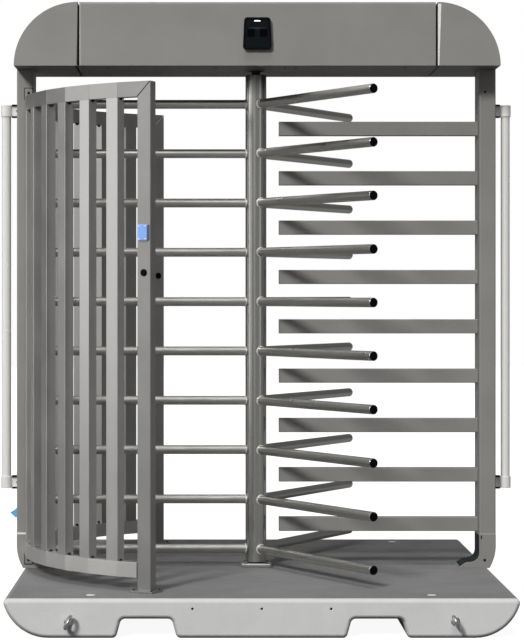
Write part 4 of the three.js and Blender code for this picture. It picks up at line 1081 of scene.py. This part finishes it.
class TURNSTILE_OT_header(bpy.types.Operator):
    """Header housing of a folded cover and two rounded ends, with the screws in its underside"""

    bl_idname = "turnstile.header"
    bl_label = "Header"

    def execute(self, context):
        cover = bmesh.new()
        prism(cover, self.arch(0, 0), COVER_FROM, COVER_TO, FACING_SIDE)
        piece("header_shell", cover, "header_coat", stands_for=["header_cover"],
              rounding=0.7 * MM)
        for name, side in SIDES.items():
            self.add_end(name, side)
        gaskets, straps = bmesh.new(), bmesh.new()
        band = self.arch(GASKET_RECESS, GASKET_DROP)
        prism(gaskets, band, -CAP_SEAM["left"] + GAP, COVER_FROM, FACING_SIDE)
        prism(gaskets, band, COVER_TO, CAP_SEAM["right"] - GAP, FACING_SIDE)
        piece("header_gaskets", gaskets, "black_nylon")
        for start, stop in ((-CAP_SEAM["left"], COVER_FROM), (COVER_TO, CAP_SEAM["right"])):
            plan = rectangle((start + stop) / 2, 0, stop - start + 6 * MM, 2 * HEAD_DEPTH - 10 * MM, 1 * MM)
            prism(straps, plan, HEAD_Z - 0.6 * MM, HEAD_Z - 0.1 * MM)
        piece("soffit_seam_straps", straps, "soffit_shade_coat")
        self.add_seam_edges()
        self.add_screws()
        return {"FINISHED"}

    def arch(self, recess, drop):
        """The cover's section: a folded sheet, inside front and rear by a recess and lower by a drop."""
        wide, height, sheet = HEAD_DEPTH - recess, HEAD_Z + HEAD_HEIGHT - drop, HEAD_SHEET
        return outline([
            (-wide, HEAD_Z), (-wide, height, HEAD_BEND), (wide, height, HEAD_BEND), (wide, HEAD_Z),
            (wide - sheet, HEAD_Z), (wide - sheet, height - sheet, HEAD_BEND - sheet),
            (sheet - wide, height - sheet, HEAD_BEND - sheet), (sheet - wide, HEAD_Z),
        ])

    def add_seam_edges(self):
        """Folded edges at the seams: an even one on the cover's left, a tapered one on the right cap. Both
        are lighter than the coat round them, as painted highlights.
        """
        low, high = HEAD_Z + 1 * MM, HEAD_Z + HEAD_HEIGHT - HEAD_BEND
        cover_edge, cap_edge = bmesh.new(), bmesh.new()
        start, seam = COVER_FROM + 0.5 * MM, CAP_SEAM["right"] + 0.5 * MM
        even = [(start, low), (start + 7 * MM, low), (start + 7 * MM, high), (start, high)]
        tapered = [(seam, low), (seam + 6 * MM, low), (seam + 14 * MM, high), (seam, high)]
        for end in ENDS.values():
            near, far = end * (HEAD_DEPTH - 1 * MM), end * (HEAD_DEPTH + 0.6 * MM)
            prism(cover_edge, outline(even), near, far, FACING_FRONT)
            prism(cap_edge, outline(tapered), near, far, FACING_FRONT)
        piece("header_cover_highlight", cover_edge, "header_edge_highlight_coat", rounding=0.4 * MM)
        piece("header_cap_highlight", cap_edge, "zinc_and_highlight", rounding=0.4 * MM)

    def add_end(self, name, side):
        """A rounded end whose seam edge is folded back with a generous radius."""
        middle = HEAD_HALF - HEAD_HEIGHT
        seam = CAP_SEAM[name]

        def quarter(radius, start, low):
            arc = [Vector((middle + radius * math.cos(a), radius * math.sin(a)))
                   for a in (math.pi / 2 * i / 40 for i in range(41))]
            arc = [p for p in arc if p.x > start + 0.5 * MM]
            points = [Vector((start, low)), Vector((middle + radius, low))] if low else [Vector((start, 0))]
            return [Vector((side * p.x, HEAD_Z + p.y)) for p in (*points, *arc, Vector((start, radius)))]

        shell = bmesh.new()
        prism(shell, quarter(HEAD_HEIGHT, seam, 0), -HEAD_DEPTH, HEAD_DEPTH, FACING_FRONT)
        fold = [e for e in shell.edges if all(abs(abs(v.co.x) - seam) < TOUCH for v in e.verts)
                and all(abs(abs(v.co.y) - HEAD_DEPTH) < TOUCH for v in e.verts)
                and abs(e.verts[0].co.y - e.verts[1].co.y) < TOUCH]
        round_edges(shell, fold, CAP_FOLD, 5)
        cavity = bmesh.new()
        inside = quarter(HEAD_HEIGHT - HEAD_SHEET, seam + CAP_RETURN, -1 * MM)
        prism(cavity, inside, HEAD_SHEET - HEAD_DEPTH, HEAD_DEPTH - HEAD_SHEET, FACING_FRONT)
        shell = carve(shell, cavity)
        piece(f"header_cap_{name}", shell, "header_coat", stands_for=[f"header_end_{name}"],
              rounding=0.7 * MM, sharp=40)

    def add_screws(self):
        """Countersunk screws in the underside, seen from below."""
        bm = bmesh.new()
        for x, y in SOFFIT_SCREWS:
            turned(bm, [
                (0, -1.2 * MM), (2.6 * MM, -1.2 * MM), (3.4 * MM, 0.4 * MM), (6 * MM, 0.4 * MM),
                (6 * MM, -2 * MM), (0, -2 * MM),
            ], 24, facing(x, y, HEAD_Z, (0, 0, -1)))
        piece("soffit_screws", bm, "black_nylon")


class TURNSTILE_OT_display(bpy.types.Operator):
    """Status display on the header, the card reader and the push buttons"""

    bl_idname = "turnstile.display"
    bl_label = "Display and controls"

    def execute(self, context):
        self.add_status_display()
        self.add_reader()
        for name, end in ENDS.items():
            self.add_button(name, end)
        return {"FINISHED"}

    def taper(self, margin):
        """The display's outline, widest at its foot, and smaller by a margin all round."""
        low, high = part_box("status_display")
        bottom, top, height = high.x - low.x, DISPLAY_TOP, high.z - low.z
        rounding = max(DISPLAY_CORNER - margin, 1 * MM)
        return outline([
            (margin - bottom / 2, low.z + margin, rounding), (bottom / 2 - margin, low.z + margin, rounding),
            (top / 2 - margin, low.z + height - margin, rounding),
            (margin - top / 2, low.z + height - margin, rounding),
        ], 10)

    def add_status_display(self):
        low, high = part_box("status_display")
        bezel, pocket, window = bmesh.new(), bmesh.new(), bmesh.new()
        prism(bezel, self.taper(0), low.y, high.y, FACING_FRONT)
        prism(pocket, self.taper(DISPLAY_RIM), low.y - 1 * MM, low.y + 4 * MM, FACING_FRONT)
        bezel = carve(bezel, pocket)
        piece("display_bezel", bezel, "black_nylon", stands_for=["status_display"],
              rounding=1.6 * MM, segments=4, sharp=40)
        pane = self.taper(DISPLAY_RIM + 0.4 * MM)
        prism(window, pane, low.y + 1.5 * MM, low.y + 3.7 * MM, FACING_FRONT)
        piece("display_pane", window, "display_window", stands_for=["display_window"],
              rounding=0.3 * MM)
        lamp = bmesh.new()
        prism(lamp, rectangle(0, high.z - 15 * MM, 26 * MM, 4.8 * MM, 2.2 * MM), low.y + 0.6 * MM,
              low.y + 1.6 * MM, FACING_FRONT)
        piece("display_light_bar", lamp, "lit_lens", rounding=0.2 * MM)
        lenses = bmesh.new()
        for x in (-26 * MM, 26 * MM):
            prism(lenses, rectangle(x, low.z + 68 * MM, 32 * MM, 34 * MM, 3 * MM), low.y + 0.9 * MM,
                  low.y + 1.7 * MM, FACING_FRONT)
        piece("display_lenses", lenses, "smoked_lens", rounding=0.2 * MM)
        band = bmesh.new()
        lift, wide, tall = 6 * MM, 39 * MM, 9 * MM
        turns = [math.pi * i / 24 for i in range(25)]
        upper = [Vector((wide * math.cos(t), high.z - 47 * MM + lift * math.sin(t))) for t in turns]
        lower = [Vector((p.x, p.y - tall * (1 - 0.4 * abs(p.x) / wide))) for p in reversed(upper)]
        prism(band, upper + lower, low.y + 1 * MM, low.y + 1.7 * MM, FACING_FRONT)
        piece("display_band", band, "liner_rubber")

    def add_reader(self):
        centre, turn = cage_post_place(ENDS["front"])
        turned_out = Matrix.Rotation(turn, 4, "Z")
        place = Matrix.Translation((*centre, DECK_Z + READER_HEIGHT)) @ turned_out @ FACING_FRONT
        body, front, screws = bmesh.new(), bmesh.new(), bmesh.new()
        prism(body, rectangle(0, 0, 42 * MM, 63 * MM, 4 * MM), -12 * MM, -GAP, place)
        prism(front, rectangle(0, 0, 37 * MM, 58 * MM, 3 * MM), -READER_FACE, -11.5 * MM, place)
        out = turned_out @ Vector((0, -1, 0))
        for x in (-14.5 * MM, 14.5 * MM):
            for z in (-25 * MM, 25 * MM):
                spot = place @ Vector((x, z, -READER_FACE))
                pan_head(screws, facing(*spot, out), 3.2 * MM, 1.2 * MM, 20)
        piece("reader_body", body, "reader_front", stands_for=["card_reader"],
              rounding=1 * MM)
        piece("reader_front_plate", front, "reader_front", rounding=0.5 * MM)
        piece("reader_screws", screws, "zinc_and_highlight")

    def add_button(self, name, end):
        centre, turn = cage_post_place(end)
        place = (Matrix.Translation((*centre, DECK_Z + BUTTON_HEIGHT)) @ Matrix.Rotation(turn, 4, "Z")
                 @ Matrix.Rotation(math.pi / 2, 4, "X"))
        bezel, cap = bmesh.new(), bmesh.new()
        turned(bezel, [
            (10.9 * MM, -22 * MM), (12.2 * MM, -22 * MM), (12.2 * MM, GAP), (14 * MM, GAP),
            (14 * MM, 2.6 * MM), (13.4 * MM, 3.6 * MM), (12.4 * MM, 4 * MM), (11.4 * MM, 3.8 * MM),
            (10.9 * MM, 3.2 * MM),
        ], 56, place, closed=True)
        turned(cap, [
            (0, -12 * MM), (10.5 * MM, -12 * MM), (10.5 * MM, 5.4 * MM), (10 * MM, 6.4 * MM),
            (9 * MM, 6.9 * MM), (7 * MM, 6.7 * MM), (4 * MM, 6.2 * MM), (0, 6 * MM),
        ], 56, place)
        piece(f"button_ring_{name}", bezel, "black_nylon",
              stands_for=[f"button_bezel_{name}"], sharp=50)
        piece(f"button_top_{name}", cap, "black_nylon", f"button_{name}",
              stands_for=[f"button_cap_{name}"], sharp=50)


def cage_post_place(end):
    """Middle of the front face of a cage's end post, and its turn about Z."""
    inwards = CAGE_DEPTH if end > 0 else 0.0
    middle = on_facet(0, end, CAGE_FACE / 2, inwards)
    behind = on_facet(0, end, CAGE_FACE / 2, inwards - end * MM)
    return middle, math.atan2(middle.x - behind.x, behind.y - middle.y)


class TURNSTILE_OT_side_tubes(bpy.types.Operator):
    """Side tubes in their sleeves, on brackets at the posts"""

    bl_idname = "turnstile.side_tubes"
    bl_label = "Side tubes"

    def execute(self, context):
        radius, sleeve = TUBE_RADIUS, SLEEVE_RADIUS
        low, high = DECK_Z + TUBE_LOW, DECK_Z + TUBE_HIGH
        face = POST_OUTER + GAP
        for name, side in SIDES.items():
            tube, clamps, pads, screws = bmesh.new(), bmesh.new(), bmesh.new(), bmesh.new()
            place = Matrix.Translation((side * TUBE_X, 0, 0))
            turned(tube, [
                (radius - 2 * MM, low + 2 * MM), (radius, low + 2 * MM), (radius, high - 2 * MM),
                (radius - 2 * MM, high - 2 * MM),
            ], 64, place, closed=True)
            for middle in (low + SLEEVE_HEIGHT / 2, high - SLEEVE_HEIGHT / 2):
                bottom, top = middle - SLEEVE_HEIGHT / 2, middle + SLEEVE_HEIGHT / 2
                turned(clamps, [
                    (radius + 0.2 * MM, bottom + 1 * MM), (radius + 1 * MM, bottom),
                    (sleeve - 1.2 * MM, bottom), (sleeve, bottom + 1.2 * MM), (sleeve, top - 1.2 * MM),
                    (sleeve - 1.2 * MM, top), (radius + 1 * MM, top), (radius + 0.2 * MM, top - 1 * MM),
                ], 64, place, closed=True)
                near, far = face + 2 * MM, TUBE_X - sleeve + 2 * MM
                web = [Vector((side * x, y)) for x, y in
                       ((near, -3 * MM), (far, -3 * MM), (far, 3 * MM), (near, 3 * MM))]
                prism(clamps, web, middle - BRACKET_HALF, middle + BRACKET_HALF)
                reach = TUBE_X - sleeve - 0.5 * MM - face
                lip = rectangle(side * (face + reach / 2), 0, reach, 24 * MM, 2 * MM)
                for level in (middle - 28 * MM, middle + 21.3 * MM):
                    prism(pads, lip, level, level + 6.7 * MM)
                pad = rectangle(side * (face + BRACKET_PAD / 2), 0, BRACKET_PAD, 50 * MM, 1 * MM, 3)
                prism(clamps, pad, middle - BRACKET_HALF, middle + BRACKET_HALF)
                for y in (-17 * MM, 17 * MM):
                    screw_place = facing(side * (face + BRACKET_PAD), y, middle, (side, 0, 0))
                    pan_head(screws, screw_place, 5 * MM, 3 * MM)
            piece(f"side_rail_{name}", tube, "anodised_tube",
                  stands_for=[f"side_tube_{name}"])
            piece(f"side_clamps_{name}", clamps, "anodised_tube")
            piece(f"side_pads_{name}", pads, "black_nylon")
            piece(f"side_screws_{name}", screws, "black_oxide")
        return {"FINISHED"}


class TURNSTILE_OT_stage(bpy.types.Operator):
    """Pale floor, soft studio lamps, grey cards and the camera at the photograph's place"""

    bl_idname = "turnstile.stage"
    bl_label = "Stage"

    def execute(self, context):
        scene = context.scene
        scene.view_settings.view_transform = "Standard"
        self.add_camera(scene)
        self.add_world(scene)
        self.add_floor()
        for number, (start, stop, height, shade) in enumerate(CARDS, 1):
            self.add_card(f"card_{number}", start, stop, 0, height, shade)
        self.add_card("floor_card", -180, 180, 4 * MM, 4 * MM, FLOOR_CARD)
        self.add_card("ceiling_card", -180, 180, CEILING, CEILING, CEILING_CARD)
        for name, settings in LAMPS.items():
            self.add_lamp(name, *settings)
        return {"FINISHED"}

    def add_camera(self, scene):
        data = bpy.data.cameras.new("camera")
        data.lens, data.sensor_width = LENS, SENSOR
        data.shift_x, data.shift_y = CAMERA_SHIFT
        data.clip_end = 200
        camera = bpy.data.objects.new("camera", data)
        camera.location = CAMERA_AT
        camera.rotation_euler = (math.pi / 2, 0, 0)
        scene.collection.objects.link(camera)
        scene.camera = camera

    def seen_directly(self, tree):
        """1 on rays that see the backdrop itself, also in a reflection or through glass, and otherwise 0."""
        rays = add_node(tree, "ShaderNodeLightPath").outputs
        first = add_node(tree, "ShaderNodeMath", {"operation": "MAXIMUM"}, {
            0: rays["Is Camera Ray"], 1: rays["Is Glossy Ray"]}).outputs[0]
        return add_node(tree, "ShaderNodeMath", {"operation": "MAXIMUM"}, {
            0: first, 1: rays["Is Transmission Ray"]}).outputs[0]

    def add_world(self, scene):
        world = bpy.data.worlds.new("studio")
        world.use_nodes = True
        scene.world = world
        tree = world.node_tree
        strength = ranged(tree, self.seen_directly(tree), 0, 1, WORLD_LIGHT, 1.0)
        background = tree.nodes["Background"]
        background.inputs["Color"].default_value = (1, 1, 1, 1)
        tree.links.new(strength, background.inputs["Strength"])

    def start_backdrop(self, name, made):
        """Gives an object of the stage a new material, whose tree is left without a surface."""
        material = bpy.data.materials.new(name)
        material.use_nodes = True
        tree = material.node_tree
        tree.nodes.remove(tree.nodes["Principled BSDF"])
        made.data.materials.append(material)
        return tree

    def add_floor(self):
        bm = bmesh.new()
        prism(bm, rectangle(0, 0, FLOOR_WIDTH, FLOOR_WIDTH), -0.02, 0)
        floor = new_object("floor", bm)
        tree = self.start_backdrop("white_paper", floor)
        seen = self.seen_directly(tree)
        matt = add_node(tree, "ShaderNodeBsdfDiffuse", {}, {
            "Color": ranged(tree, seen, 0, 1, FLOOR_SHADE, FLOOR_SEEN)})
        glow = add_node(tree, "ShaderNodeEmission", {}, {"Color": (1, 1, 1, 1), "Strength": FLOOR_GLOW})
        share = ranged(tree, seen, 0, 1, 0.0, FLOOR_SHARE)
        both = add_node(tree, "ShaderNodeMixShader", {}, {
            0: share, 1: matt.outputs["BSDF"], 2: glow.outputs["Emission"]})
        tree.links.new(both.outputs["Shader"], tree.nodes["Material Output"].inputs["Surface"])

    def add_card(self, name, start, stop, bottom, top, shade):
        """A card that only reflections show: a curved wall, or a flat disc where its top is its bottom."""
        bm = bmesh.new()
        count = round((stop - start) / CARD_STEP)
        bearings = [math.radians(start + (stop - start) * i / count) for i in range(count + 1)]
        foot = [Vector((math.sin(b), -math.cos(b), 0)) * CARD_RADIUS for b in bearings]
        if top > bottom:
            low, high = [[bm.verts.new(p + Vector((0, 0, z))) for p in foot] for z in (bottom, top)]
            for i in range(count):
                bm.faces.new((low[i], low[i + 1], high[i + 1], high[i]))
        else:
            bm.faces.new([bm.verts.new(p + Vector((0, 0, bottom))) for p in foot[:-1]])
        card = new_object(name, bm)
        card.visible_camera = False
        card.visible_diffuse = False
        card.visible_shadow = False
        card.visible_transmission = False
        tree = self.start_backdrop(name, card)
        paper = add_node(tree, "ShaderNodeEmission", {}, {"Color": (shade, shade, shade, 1), "Strength": 1.0})
        tree.links.new(paper.outputs["Emission"], tree.nodes["Material Output"].inputs["Surface"])

    def add_lamp(self, name, bearing, height, spread, strength, reflected):
        """A large soft lamp far away, at a bearing from the front and a height in degrees."""
        data = bpy.data.lights.new(name, "SUN")
        data.energy = strength
        data.angle = math.radians(spread)
        lamp = bpy.data.objects.new(name, data)
        level = math.cos(math.radians(height))
        towards = Vector((
            math.sin(math.radians(bearing)) * level, -math.cos(math.radians(bearing)) * level,
            math.sin(math.radians(height)),
        ))
        lamp.location = towards * LAMP_DISTANCE
        lamp.rotation_euler = (-towards).to_track_quat("-Z", "Y").to_euler()
        lamp.visible_glossy = reflected
        bpy.context.scene.collection.objects.link(lamp)


PARTS = (
    TURNSTILE_OT_stage, TURNSTILE_OT_finishes, TURNSTILE_OT_base, TURNSTILE_OT_portal, TURNSTILE_OT_cages,
    TURNSTILE_OT_rotor, TURNSTILE_OT_header, TURNSTILE_OT_display, TURNSTILE_OT_side_tubes,
)


class TURNSTILE_PT_panel(bpy.types.Panel):
    """Lists the turnstile's operators, sizes and colours"""

    bl_idname = "TURNSTILE_PT_panel"
    bl_label = "Turnstile"
    bl_space_type = "VIEW_3D"
    bl_region_type = "UI"
    bl_category = "Turnstile"

    def draw(self, context):
        for part in PARTS:
            self.layout.operator(part.bl_idname)
        for group in (context.scene.turnstile_sizes, context.scene.turnstile_colours):
            for name in group.bl_rna.properties.keys():
                if name not in ("rna_type", "name"):
                    self.layout.prop(group, name)


CLASSES = (TurnstileColours, TurnstileSizes, *PARTS, TURNSTILE_PT_panel)


def register():
    for each in CLASSES:
        bpy.utils.register_class(each)
    bpy.types.Scene.turnstile_colours = bpy.props.PointerProperty(type=TurnstileColours)
    bpy.types.Scene.turnstile_sizes = bpy.props.PointerProperty(type=TurnstileSizes)


def unregister():
    del bpy.types.Scene.turnstile_sizes
    del bpy.types.Scene.turnstile_colours
    for each in reversed(CLASSES):
        bpy.utils.unregister_class(each)


def main():
    register()
    for part in PARTS:
        group, name = part.bl_idname.split(".")
        getattr(getattr(bpy.ops, group), name)()


if __name__ == "__main__":
    main()
